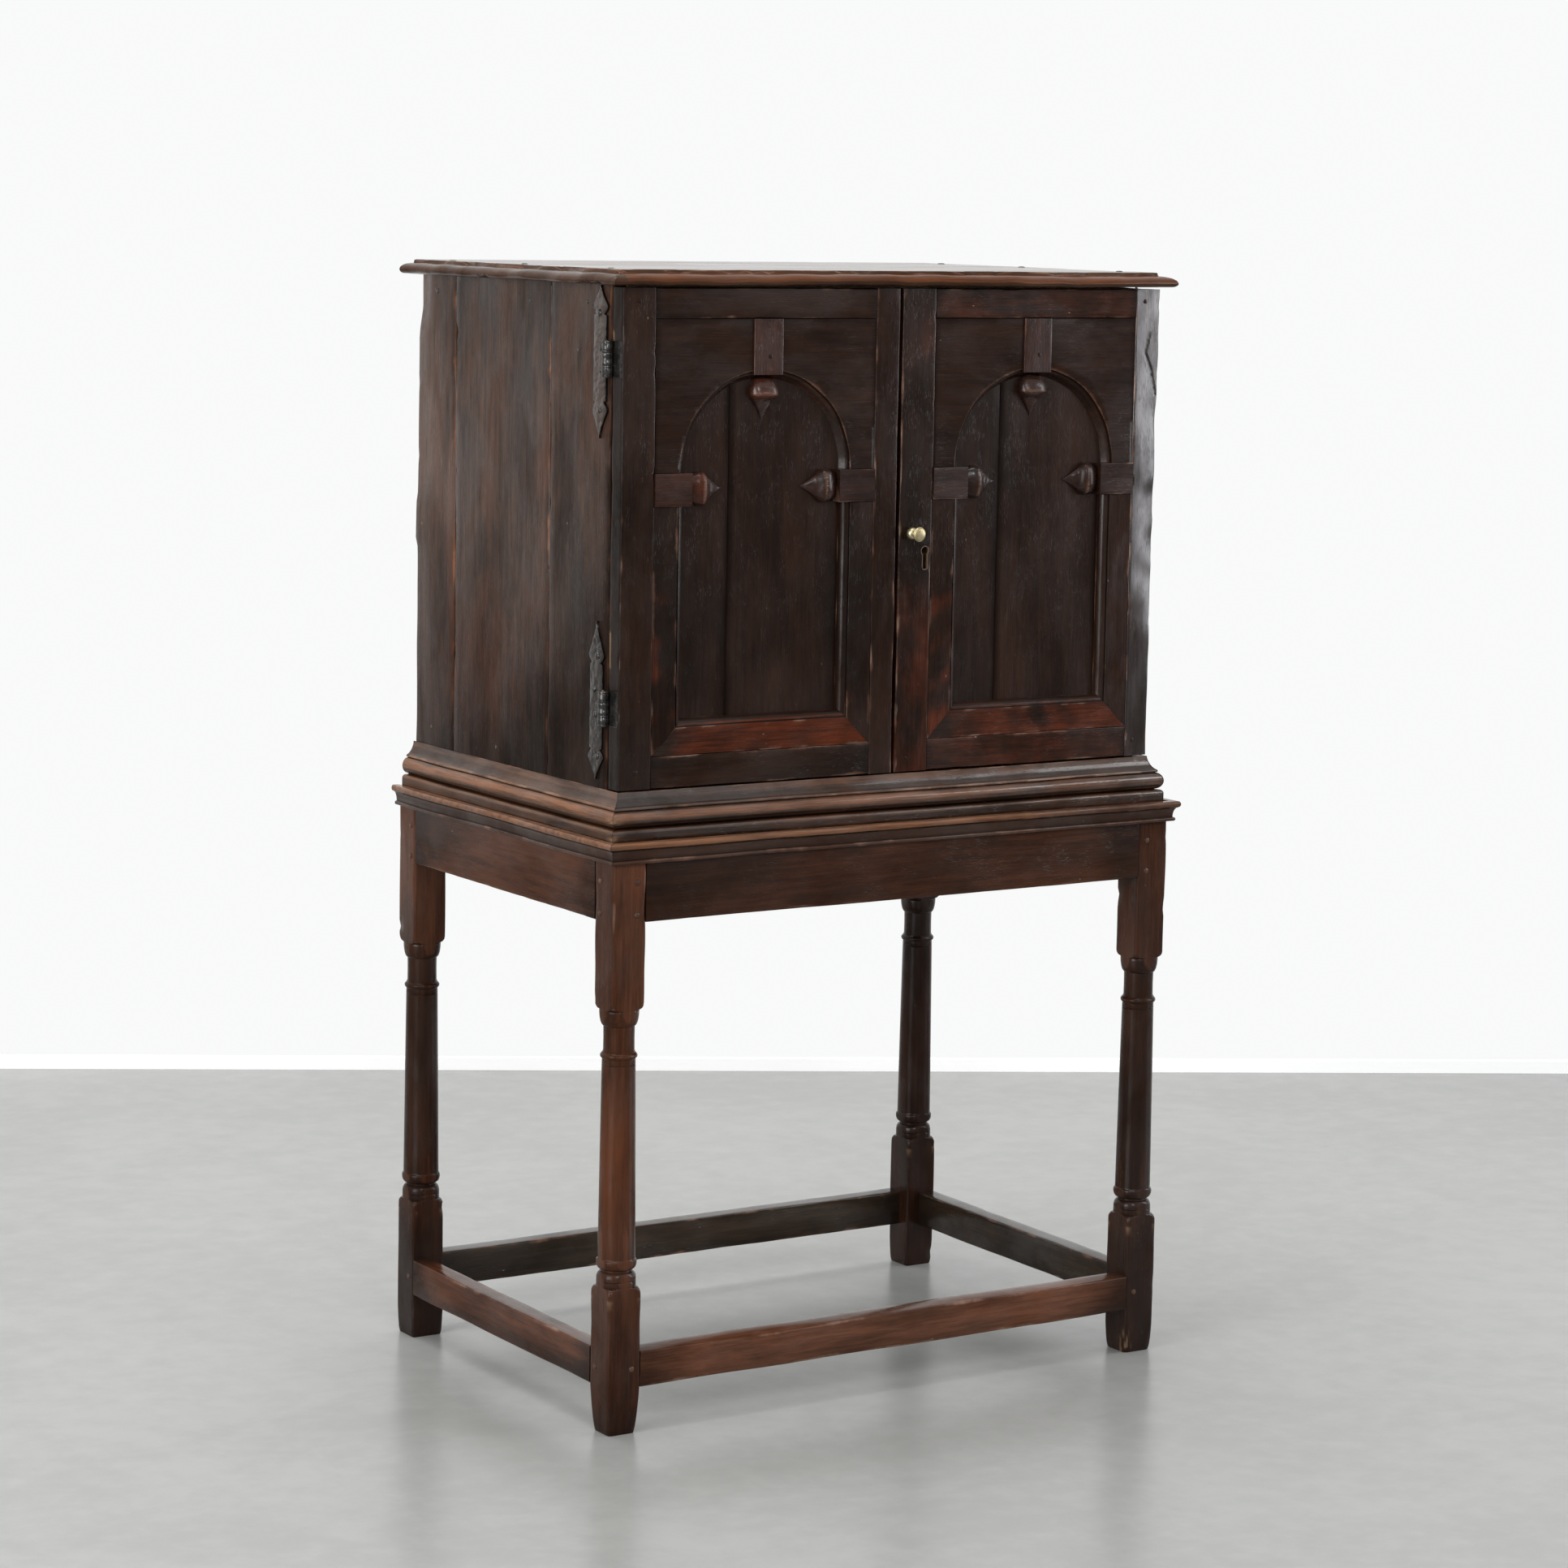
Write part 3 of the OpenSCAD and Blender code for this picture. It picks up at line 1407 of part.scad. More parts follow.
right_door_hinge_leaves();
knob();
keyhole_liner();
lock_case();
lock_bolt();
bolt_keep();
door_bolt();
door_bolt_plate();
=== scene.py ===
import math

import bpy
import numpy as np
from mathutils import Matrix


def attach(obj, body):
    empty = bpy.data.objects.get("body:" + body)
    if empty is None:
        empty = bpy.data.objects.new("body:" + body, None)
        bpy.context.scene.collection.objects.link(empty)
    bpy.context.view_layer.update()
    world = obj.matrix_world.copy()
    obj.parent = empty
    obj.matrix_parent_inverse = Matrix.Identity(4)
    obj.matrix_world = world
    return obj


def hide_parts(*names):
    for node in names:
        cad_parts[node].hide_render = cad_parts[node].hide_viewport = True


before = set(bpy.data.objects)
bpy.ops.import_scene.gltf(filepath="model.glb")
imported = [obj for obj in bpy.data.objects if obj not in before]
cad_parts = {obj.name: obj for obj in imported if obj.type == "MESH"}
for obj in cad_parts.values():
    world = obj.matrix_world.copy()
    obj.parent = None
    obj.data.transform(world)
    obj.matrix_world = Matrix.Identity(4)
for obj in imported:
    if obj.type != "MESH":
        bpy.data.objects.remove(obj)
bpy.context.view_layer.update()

# The cabinet stands on the floor at z = 0, its doors face -Y and the viewer's right is +X.
# All lengths are in metres. These repeat the frame's own sizes.
HALF_CASE, HALF_STAND, INNER_X = 0.406, 0.426, 0.386
LEG, STAND_H, BASE_TOP, CASE_TOP, TOP_Z = 0.047, 0.748, 0.810, 1.431, 1.450
LEG_FRONT, LEG_BACK = -0.2815, 0.2935
DOOR_FRONT, DOOR_BACK, CASE_FRONT, CASE_BACK = -0.255, -0.229, -0.228, 0.290
DOOR_Z, DOOR_H, RECESS = 0.812, 0.616, 0.014
LOW_RAIL, HIGH_RAIL, TRIM_TOP = 0.852, 1.391, 1.160
PIN_X, PIN_Y, LEAF = 0.4135, -0.2285, 0.0035
ARCH_Z, ARCH_R = 1.202, 0.125
KEYHOLE = (0.043, 1.089)
HANDS = (("left", -1), ("right", 1))

# The photograph's view: angles in degrees, the eye in metres, and the focal length in its pixels.
YAW, PITCH, ROLL = 32.442, -7.981, 1.0073
EYE = (-2.98864, -4.69788, 1.54482)
FOCAL, PICTURE, SENSOR = 5193.476, 1932, 36


def level_view(yaw):
    """Directions ahead and to the right of someone who looks level, turned by yaw from +Y towards +X."""
    yaw = math.radians(yaw)
    return np.array([math.sin(yaw), math.cos(yaw), 0]), np.array([math.cos(yaw), -math.sin(yaw), 0])


def aim(obj, right, up, ahead, place):
    """Puts a camera or a lamp in the scene, facing ahead."""
    obj.matrix_world = Matrix([[right[k], up[k], -ahead[k], place[k]] for k in range(3)] + [[0, 0, 0, 1]])
    bpy.context.scene.collection.objects.link(obj)


def camera():
    """The photograph's view: a long lens from the front left, a little above the top."""
    pitch, roll = math.radians(PITCH), math.radians(ROLL)
    ahead, right = level_view(YAW)
    ahead = ahead * math.cos(pitch) + (0, 0, math.sin(pitch))
    up = np.cross(right, ahead)
    right, up = math.cos(roll) * right + math.sin(roll) * up, math.cos(roll) * up - math.sin(roll) * right
    lens = bpy.data.cameras.new("camera")
    lens.sensor_width = SENSOR
    lens.lens = SENSOR * FOCAL / PICTURE
    eye = bpy.data.objects.new("camera", lens)
    aim(eye, right, up, ahead, EYE)
    bpy.context.scene.camera = eye


# Shapes

def wobble(place, seed, size):
    """Smooth noise between about -1 and 1: five sine waves in seeded directions, each about `size` long."""
    dice = np.random.default_rng(seed)
    ways = dice.normal(size=(5, 3))
    ways /= np.linalg.norm(ways, axis=1)[:, None]
    waves = 2 * np.pi / (size * dice.uniform(0.6, 1.7, 5))
    starts = dice.uniform(0, 2 * np.pi, 5)
    return np.sin((np.asarray(place) @ ways.T) * waves + starts).sum(-1) / 2.6


def smooth(value, low, high):
    """0 below low, 1 above high and an S curve between."""
    t = np.clip((value - low) / (high - low), 0, 1)
    return t * t * (3 - 2 * t)


def fade(value, low, high):
    """1 below low, 0 above high and an S curve between."""
    return smooth(-value, -high, -low)


def band(value, middle, inner, outer):
    """1 within `inner` of the middle, 0 beyond `outer` and an S curve between."""
    return fade(np.abs(value - middle), inner, outer)


def split_axes(points):
    """Views of the points' x, y and z: a change to one changes the points."""
    return points[..., 0], points[..., 1], points[..., 2]


def spread(low, high, step):
    """Even steps of at most `step` from low to high."""
    return np.linspace(low, high, max(2, int(math.ceil(abs(high - low) / step)) + 1))


def keyhole_reach(angle):
    """Distance from a point inside the keyhole to its edge: the farther of the round end's ray and the
    slot's ray, each found where the ray from that point leaves the shape."""
    round_r, round_z, half, foot = 0.0068, 1.095, 0.0048, 1.0707
    cos, sin = np.cos(angle), np.sin(angle)
    up = round_z - KEYHOLE[1]
    circle = up * sin + np.sqrt(np.maximum(round_r ** 2 - (up * cos) ** 2, 0))
    sides = half / np.maximum(np.abs(cos), 1e-6)
    slot = np.where(sin < 0, np.minimum(sides, (KEYHOLE[1] - foot) / np.maximum(-sin, 1e-6)),
                    np.minimum(sides, up / np.maximum(sin, 1e-6)))
    return np.maximum(circle, slot)


class Shape:
    """One piece's mesh, gathered from grids of points. Each row of a grid is a ring round the form,
    neighbours are joined by four-sided faces, and the two end rings are closed by flat caps."""

    def __init__(self):
        self.points, self.marks, self.faces, self.count = [], [], [], 0

    def add(self, rings, wear=0.0, grime=0.0, red=0.0, tone=0.5, dry=0.0, holes=()):
        rows, columns = rings.shape[:2]
        index = np.arange(rows * columns).reshape(rows, columns)
        low, high = index[:-1], index[1:]
        quads = np.stack([low, high, np.roll(high, -1, 1), np.roll(low, -1, 1)], -1)
        keep = np.ones(quads.shape[:2], bool)
        for r0, r1, c0, c1 in holes:
            keep[r0:r1, c0:c1] = False
        faces = quads[keep].tolist() + [index[0].tolist(), index[-1][::-1].tolist()]
        flat = rings.reshape(-1, 3)
        a, b, c, d = (flat[quads.reshape(-1, 4)[:, k]] for k in range(4))
        middle = flat.mean(0)
        volume = (np.cross(b - middle, c - middle) * (a - middle)).sum()
        volume += (np.cross(c - middle, d - middle) * (a - middle)).sum()
        if volume < 0:
            faces = [face[::-1] for face in faces]
        marks = np.stack([np.broadcast_to(v, (rows, columns)) for v in (wear, grime, red, tone, dry)], -1)
        marks = marks.reshape(-1, 5)
        if holes:
            flat, marks, walls = self.bore(flat, marks, index, holes)
            faces += [face[::-1] for face in walls] if volume < 0 else walls
        self.points.append(flat)
        self.marks.append(marks)
        self.faces += [[k + self.count for k in face] for face in faces]
        self.count += len(flat)

    def bore(self, flat, marks, index, holes):
        """Carries a keyhole through a bar. Each hole is a rectangle of the grid: the points round it are
        joined to the keyhole's outline, met on rays from its middle, and the two outlines to each other."""
        outlines, walls = [], []
        for r0, r1, c0, c1 in holes:
            loop = ([index[r0, c] for c in range(c0, c1)] + [index[r, c1] for r in range(r0, r1)]
                    + [index[r1, c] for c in range(c1, c0, -1)] + [index[r, c0] for r in range(r1, r0, -1)])
            new, extra = flat[loop].copy(), marks[loop].copy()
            angle = np.arctan2(new[:, 2] - KEYHOLE[1], new[:, 0] - KEYHOLE[0])
            reach = keyhole_reach(angle)
            new[:, 0] = KEYHOLE[0] + reach * np.cos(angle)
            new[:, 2] = KEYHOLE[1] + reach * np.sin(angle)
            # The keyhole's edge and walls are darkened: soiled, and painted shade in the hole.
            extra[:, 1] = 0.9
            ids = list(range(len(flat), len(flat) + len(new)))
            flat, marks = np.concatenate([flat, new]), np.concatenate([marks, extra])
            outlines.append((angle, ids))
            walls += self.between(loop, ids)
        (angle_a, front), (angle_b, back) = outlines
        order = [back[int(np.argmin(np.abs(np.angle(np.exp(1j * (angle_b - a))))))] for a in angle_a]
        return flat, marks, walls + self.between(front, order)

    @staticmethod
    def between(first, second):
        """Faces that join two closed loops of points, point by point."""
        return [[first[k - 1], second[k - 1], second[k], first[k]] for k in (*range(1, len(first)), 0)]

    def build(self, node, finish, slot, body="root", name=None, sharp=48):
        """Makes the piece, which rides a body and stands for a node of the frame unless that is None."""
        name = name or node + "_worn"
        mesh = bpy.data.meshes.new(name)
        marks = np.concatenate(self.marks).clip(0, 1)
        mesh.from_pydata(np.concatenate(self.points), [], self.faces)
        painted = mesh.color_attributes.new("mark", "FLOAT_COLOR", "POINT")
        painted.data.foreach_set("color", marks[:, :4].ravel())
        mesh.attributes.new("dry", "FLOAT", "POINT").data.foreach_set("value", marks[:, 4].ravel())
        mesh.shade_smooth()
        mesh.set_sharp_from_angle(angle=math.radians(sharp))
        mesh.materials.append(FINISHES[finish])
        piece = bpy.data.objects.new(name, mesh)
        bpy.context.scene.collection.objects.link(piece)
        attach(piece, body)
        if node:
            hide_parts(node)


AXES = {"x": (0, 1, 2), "y": (1, 2, 0), "z": (2, 0, 1)}
FINISHES = {}


def mark(value, points):
    """A mark's value at the points, where it is given as a function of them."""
    return value(points) if callable(value) else value


def bar(shape, low, high, along, arris=0.0015, wave=0.0002, worn=1.0, grime=0.5, red=0.0, seed=1, dry=0.0,
        step=0.011, nicks=1.0, drift=None, keyhole=False, rub=0.0016):
    """A board or bar: a rectangle with rounded corners carried along one axis. Each corner's radius and
    each face's place change along the length by smooth noise, and nicks widen a corner here and there.
    Grime as a number gathers at the two ends."""
    a, b, c = AXES[along]
    low, high = np.asarray(low, float), np.asarray(high, float)
    size = high - low
    run = spread(low[a], high[a], step)
    place = np.zeros((len(run), 3))
    place[:, a] = run
    faces_b = [(low, high)[k][b] + wave * wobble(place, seed + k, 0.23) for k in (0, 1)]
    faces_c = [(low, high)[k][c] + wave * wobble(place, seed + 2 + k, 0.23) for k in (0, 1)]
    arc = np.linspace(0, np.pi / 2, 5)
    across_b, across_c = (spread(0, 1, step / size[k])[1:-1] for k in (b, c))
    arcs = []
    for k, (kb, kc) in enumerate([(0, 0), (1, 0), (1, 1), (0, 1)]):
        turned = np.pi * (1 + k / 2) + arc
        nick = nicks * np.clip(wobble(place, seed + 10 + k, 0.035) - 0.7, 0, 1) * 1.5
        r = arris * (1 + 0.45 * wobble(place, seed + 20 + k, 0.09) + nick)
        r = np.clip(r, 0.0003, 0.45 * min(size[b], size[c]))[:, None]
        middle_b = faces_b[kb][:, None] + (r if kb == 0 else -r)
        middle_c = faces_c[kc][:, None] + (r if kc == 0 else -r)
        arcs.append(np.stack([middle_b + r * np.cos(turned), middle_c + r * np.sin(turned)], -1))
    rings, edge = [], []
    for k in range(4):
        t, width = ((across_b, size[b]), (across_c, size[c]))[k % 2]
        here, there = arcs[k][:, -1:], arcs[(k + 1) % 4][:, :1]
        rings += [arcs[k], here + (there - here) * t[None, :, None]]
        edge += [np.ones(len(arc)), np.exp(-np.minimum(t, 1 - t) * width / rub)]
    section = np.concatenate(rings, 1)
    points = np.zeros(section.shape[:2] + (3,))
    points[..., a] = run[:, None]
    points[..., b] = section[..., 0]
    points[..., c] = section[..., 1]
    points[..., b] += wave * 0.6 * wobble(points, seed + 31, 0.12)
    points[..., c] += wave * 0.6 * wobble(points, seed + 32, 0.12)
    if drift:
        points = drift(points)
    end = np.minimum(run - low[a], high[a] - run)[:, None]
    holes = ()
    if keyhole:
        rows = [int(np.searchsorted(run, z)) for z in (1.062, 1.108)]
        n, corner = len(across_b), len(arc)
        near = [k for k in range(n) if 0.033 < points[rows[0], corner + k, 0] < 0.0495]
        first, last = near[0] - 1, near[-1] + 1
        back = 3 * corner + 2 * n + len(across_c) - 1
        holes = ((*rows, corner + first, corner + last), (*rows, back - last, back - first))
    rubbed = 0.75 + 0.25 * wobble(points, seed + 33, 0.05)
    shape.add(points, wear=worn * np.concatenate(edge)[None] * rubbed,
              grime=mark(grime, points) if callable(grime) else grime * np.exp(-end / 0.005),
              red=mark(red, points), tone=(seed * 0.37) % 1, dry=mark(dry, points), holes=holes)


def board(node, low, high, finish, slot, body="root", **look):
    """A piece made of one bar, which runs the way of its finish's grain."""
    shape = Shape()
    bar(shape, low, high, finish[-1], **look)
    shape.build(node, finish, slot, body)


def arc_points(p, q, steps, upright):
    """A quarter ellipse from p to q that leaves p along its second axis if upright, else its first."""
    a = np.linspace(0, np.pi / 2, steps + 1)
    x, y = (1 - np.cos(a), np.sin(a)) if upright else (np.sin(a), 1 - np.cos(a))
    return np.stack([p[0] + (q[0] - p[0]) * x, p[1] + (q[1] - p[1]) * y], -1)


def half_round(x, y, out, up, steps):
    """Half an ellipse that bulges outwards, from `up` below y to `up` above it."""
    a = np.linspace(0, np.pi, steps)
    return np.stack([x + out * np.sin(a), y - up * np.cos(a)], -1)


def fill(profile, step):
    """The same outline with no stretch longer than step."""
    parts = [p0 + (p1 - p0) * np.linspace(0, 1, max(2, int(np.hypot(*(p1 - p0)) / step) + 2))[:-1, None]
             for p0, p1 in zip(profile[:-1], profile[1:])]
    return np.concatenate(parts + [profile[-1:]])


def bend(profile):
    """How sharply a closed outline turns outwards or inwards at each point, from 1 to -1."""
    before, after = profile - np.roll(profile, 1, 0), np.roll(profile, -1, 0) - profile
    turn = before[:, 0] * after[:, 1] - before[:, 1] * after[:, 0]
    return turn / (np.hypot(*before.T) * np.hypot(*after.T) + 1e-12)


def run_moulding(shape, profile, start, along, out, length, mitres, up=(0, 0, 1), seed=1,
                 wave=0.0003, red=0.0, tone=0.5, zones=(), chipped=0.0):
    """A profile carried along a straight run. At a mitred end each point stops short or runs on by as
    much as it stands out: mitre 1 runs on, -1 stops short and 0 is cut square. Each zone, from one height
    to another, is lightened and darkened as much as it says, as rubbing and soiling and also as painted
    highlight and painted shade, and chipped says where dry wood shows."""
    start, along, out, up = (np.asarray(v, float) for v in (start, along, out, up))
    t = spread(0, 1, 0.009 / length)[:, None]
    close = 0.0016 / length
    t = np.concatenate([[[0.0], [close]], t[1:-1], [[1 - close], [1.0]]])
    away, height = profile[:, 0], profile[:, 1]
    reach = -mitres[0] * away + t * (length + (mitres[0] + mitres[1]) * away)
    points = start + reach[..., None] * along + away[None, :, None] * out + height[None, :, None] * up
    standing = smooth(away, 0.0, 0.002)[None]
    points += (standing * wave * (wobble(points, seed, 0.15) - 0.8))[..., None] * out
    points += (standing * wave * wobble(points, seed + 1, 0.21))[..., None] * up
    turn = bend(profile)
    turn = turn if turn.sum() > 0 else -turn
    # Lighter on the outward bends, where arrises are rubbed, and darker on the inward bends: soiled, and
    # painted shade in the creases.
    wear, grime = smooth(turn, 0.02, 0.5), smooth(-turn, 0.05, 0.6)
    wear = np.maximum(wear, 0.6 * np.maximum(np.roll(wear, 1), np.roll(wear, -1)))
    grime = np.maximum(grime, 0.5 * np.maximum(np.roll(grime, 1), np.roll(grime, -1)))
    for low, high, rub, dirt_and_shade in zones:
        here = smooth(height, low - 0.001, low + 0.001) * fade(height, high - 0.001, high + 0.001)
        here = here * (away > 0.003)
        wear, grime = np.maximum(wear, rub * here), np.maximum(grime, dirt_and_shade * here)
    left = np.where(mitres[0] != 0, reach + mitres[0] * away, 1.0)
    left = np.minimum(left, np.where(mitres[1] != 0, length + mitres[1] * away - reach, 1.0)).clip(0, None)
    broken = (0.72 + 0.5 * wobble(points, seed + 5, 0.045)).clip(0, 1)
    shape.add(points, wear=np.maximum(wear[None] * broken, 1.2 * np.exp(-left / 0.002) * broken),
              grime=np.maximum(grime[None], 0.9 * np.exp(-left / 0.0006)), red=mark(red, points), tone=tone,
              dry=mark(chipped, points))


def runs_around(half, front, back):
    """The runs of a moulding round the front and sides of a case: name, and where and how each one goes."""
    left, right = (-half, front, 0), (half, front, 0)
    return (("front", (left, (1, 0, 0), (0, -1, 0), 2 * half, (1, 1))),
            ("left", (left, (0, 1, 0), (-1, 0, 0), back - front, (1, 0))),
            ("right", (right, (0, 1, 0), (1, 0, 0), back - front, (1, 0))))


def lathe(shape, profile, centre, axis, steps, seed=1, wave=0.0, wear=0.0, grime=0.0, tone=0.5, sides=0.0):
    """A profile of radius and distance turned about an axis. With sides, the round is slightly faceted."""
    angle = np.linspace(0, 2 * np.pi, steps, endpoint=False)
    a, b, c = AXES[axis]
    radius = profile[:, :1] * (1 + sides * np.cos(7 * angle + seed))
    points = np.zeros((len(profile), steps, 3))
    points[..., a] = profile[:, 1:]
    points[..., b] = radius * np.cos(angle)
    points[..., c] = radius * np.sin(angle)
    points += np.asarray(centre, float)
    if wave:
        points[..., b] += wave * wobble(points, seed, 0.012)
        points[..., c] += wave * wobble(points, seed + 1, 0.012)
    wear, grime = (np.broadcast_to(np.asarray(v, float), len(profile))[:, None] for v in (wear, grime))
    shape.add(points, wear=wear, grime=grime, tone=tone)


def heads(shape, spots, axis, radius, height):
    """Nail and peg heads: low domes, each a half circle squashed to its height, slightly out of round."""
    dice = np.random.default_rng(len(spots) + int(1e5 * abs(spots[0][0])))
    sign = -1 if axis.startswith("-") else 1
    a, b, c = AXES[axis[-1]]
    t = np.linspace(0, np.pi / 2, 5)
    rings = np.concatenate([[[1.0, -1.0]], np.stack([np.cos(t), np.sin(t)], -1)])
    rings[-1, 0] = 0.02
    angle = np.linspace(0, 2 * np.pi, 12, endpoint=False)
    for spot in spots:
        size = radius * dice.uniform(0.8, 1.2)
        rise = height * dice.uniform(0.7, 1.3)
        rim = 1 + sum(high * np.sin(k * angle + dice.uniform(0, 6)) for k, high in ((3, 0.12), (5, 0.06)))
        points = np.zeros((len(rings), len(angle), 3))
        points[..., a] = sign * rise * rings[:, 1:]
        points[..., b] = size * rings[:, :1] * rim * np.cos(angle)
        points[..., c] = size * rings[:, :1] * rim * np.sin(angle)
        shape.add(points + np.asarray(spot, float), wear=0.6, tone=dice.uniform())


# Finishes

class Socket:
    """A node's output that can be added, subtracted and multiplied. Each time, that adds a node."""

    def __init__(self, finish, output):
        self.finish, self.output = finish, output

    def __add__(self, other):
        return self.finish.maths("ADD", self, other)

    def __sub__(self, other):
        return self.finish.maths("SUBTRACT", self, other)

    def __rsub__(self, other):
        return self.finish.maths("SUBTRACT", other, self)

    def __mul__(self, other):
        return self.finish.maths("MULTIPLY", self, other)


class Finish:
    """The nodes of a material or world: they are added by kind, and their sockets take values or links."""

    def __init__(self, owner):
        owner.use_nodes = True
        self.owner, self.tree = owner, owner.node_tree

    def put(self, node, sockets):
        for socket, value in sockets.items():
            target = node.inputs[socket]
            if isinstance(value, Socket):
                self.tree.links.new(value.output, target)
            elif isinstance(value, tuple) and len(value) < len(target.default_value):
                target.default_value = value + (1.0,)
            else:
                target.default_value = value

    def surface(self, sockets):
        """Sets the material's shader and gives the material."""
        self.put(self.tree.nodes["Principled BSDF"], sockets)
        return self.owner

    def add(self, kind, output=0, inputs=None, **settings):
        node = self.tree.nodes.new("ShaderNode" + kind)
        for key, value in settings.items():
            setattr(node, key, value)
        self.put(node, inputs or {})
        return Socket(self, node.outputs[output])

    def maths(self, operation, first, second, clamp=False):
        return self.add("Math", operation=operation, use_clamp=clamp, inputs={0: first, 1: second})

    def step(self, value, low, high):
        """0 below low, 1 above high and an S curve between."""
        return self.add("MapRange", interpolation_type="SMOOTHSTEP",
                        inputs={"Value": value, "From Min": low, "From Max": high})

    def blend(self, colour, *layers):
        """A colour with others over it, each with its own share."""
        for share, over in layers:
            colour = self.add("Mix", output=2, data_type="RGBA", inputs={0: share, 6: colour, 7: over})
        return colour

    def place(self, scale=(1, 1, 1), shift=None):
        """Object coordinates stretched by a scale a direction, moved by a board's own shift."""
        where = self.add("TexCoord", output="Object")
        if shift:
            where = self.add("VectorMath", operation="ADD", inputs={0: where, 1: shift})
        return self.add("Mapping", inputs={"Vector": where, "Scale": scale})

    def noise(self, vector, scale, detail, rough, warp=0.0):
        return self.add("TexNoise", inputs={"Vector": vector, "Scale": scale, "Detail": detail,
                                            "Roughness": rough, "Distortion": warp})

    def marks(self):
        """Wear, the dark mark of soiling and painted shade, and red, as the piece's mark has them."""
        split = self.tree.nodes.new("ShaderNodeSeparateColor")
        self.put(split, {0: self.add("Attribute", attribute_name="mark")})
        return [Socket(self, output) for output in split.outputs]

    def seen_ray(self):
        """1 for a ray of the camera and for one seen in or through a piece, 0 for one that only lights."""
        camera_ray, glossy, through = (self.add("LightPath", output=f"Is {kind} Ray")
                                       for kind in ("Camera", "Glossy", "Transmission"))
        return self.maths("MAXIMUM", self.maths("MAXIMUM", camera_ray, glossy), through)

    def bump(self, height, distance, **normal):
        return self.add("Bump", inputs={"Height": height, "Distance": distance, "Strength": 1.0, **normal})


def oak(name, along, dark, mid, red, worn, gloss=0.31, scuffs=0.35, specks=0.5, waves=0.0004, grain=1.0,
        shine=0.36, patch=(0.38, 0.64), pale=0.6, cloud=0.5, pore=0.6, dull=0.35):
    """Old waxed oak. Streaks along the grain and broad patches mix a dark and a middle tone, red shows where
    the piece's red mark and noise agree, arrises wear to a lighter tone and the most rubbed of them to a pale
    one, which is also a painted highlight, pores are dark dashes along the grain, and scuffs and specks are
    pale. The piece's dark mark lays a near-black tone: soiling, and painted shade where the shapes put it in
    creases, joints and hollows. The board's mark shifts the pattern, so no two boards match."""
    f = Finish(bpy.data.materials.new(name))
    wear, grime, redness = f.marks()
    tone = f.add("Attribute", output="Alpha", attribute_name="mark")
    dry = f.add("Attribute", output="Fac", attribute_name="dry")
    shift = f.add("VectorMath", operation="SCALE", inputs={0: (3.1, 5.3, 4.7), "Scale": tone})

    def across(scale):
        """Coordinates that are `scale` times finer across the grain than along it."""
        return f.place(tuple(1.0 if way == along else scale for way in "xyz"), shift)

    streaks = f.noise(across(15), 9, 5, 0.6, 0.3)
    fine = f.noise(across(30), 26, 4, 0.6)
    patches = f.noise(across(2.6), 3.6, 5, 0.62, 0.6)
    mottle = f.noise(across(1), 38, 5, 0.6)
    pores = f.add("TexVoronoi", inputs={"Vector": across(17), "Scale": 70.0})
    pores = (1.0 - f.step(pores, 0.10, 0.34)) * f.step(mottle, 0.42, 0.62)
    lines = f.step(f.noise(across(22), 17, 2, 0.5), 0.68, 0.76) * f.step(patches, 0.46, 0.64)
    dots = f.add("TexVoronoi", inputs={"Vector": across(2.4), "Scale": 24.0})
    dots = (1.0 - f.step(dots, 0.025, 0.06)) * f.step(mottle, 0.52, 0.6)

    both = streaks * 0.28 + patches * 0.52 + fine * 0.20
    red_dark = tuple(0.4 * v + 0.6 * d for v, d in zip(red, dark))
    red_wood = f.blend(red_dark, (f.step(streaks * 0.6 + fine * 0.4, 0.38, 0.60), red))
    bare = f.blend((0.13, 0.075, 0.04), (f.step(both, 0.34, 0.66), (0.28, 0.185, 0.11)),
                   (pores * 0.5, (0.05, 0.03, 0.02)))
    colour = f.blend(dark, (f.step(both, *patch), mid),
                     (f.step(patches * 0.45 + mottle * 0.25 + redness * 0.75, 0.58, 0.98), red_wood),
                     (f.step(wear * 0.75 + mottle * 0.75, 0.88, 1.28) * 0.85, worn),
                     # the most rubbed arrises go pale: rubbed wood, and a painted highlight along the edge
                     (f.step(wear * 0.8 + fine * 0.6, 1.02, 1.22) * pale, (0.30, 0.22, 0.17)),
                     (lines * scuffs, (0.15, 0.115, 0.095)), (dots * specks, (0.34, 0.28, 0.22)),
                     # the dark mark lays near-black: soiling, and painted shade in creases, joints and
                     # hollows
                     (pores * pore, (0.004, 0.003, 0.0025)), (grime * 0.8, (0.006, 0.0042, 0.0034)),
                     (dry, bare))
    rough = f.step(patches, 0.3, 0.7) * 0.08 + (gloss - 0.04) + f.step(fine, 0.35, 0.7) * 0.05 + grime * 0.06
    polish = f.step(f.noise(across(2.0), 6.5, 5, 0.65, 0.4), 0.36, 0.66) * (2 * cloud) + (1 - cloud)
    polish = polish * (1.0 - grime * dull) * (1.0 - dry * 0.6)
    relief = fine * 0.45 + streaks * 0.15 - pores * (1.4 * pore) - lines * (0.5 * scuffs) + mottle * 0.25
    swell = f.bump(f.noise(across(3.5), 5.5, 2, 0.5, 0.3), waves * 3)
    return f.surface({"Base Color": colour, "Roughness": f.maths("ADD", rough, dry * 0.35, clamp=True),
                      "Specular IOR Level": polish * shine,
                      "Normal": f.bump(relief, 0.0005 * grain, Normal=swell)})


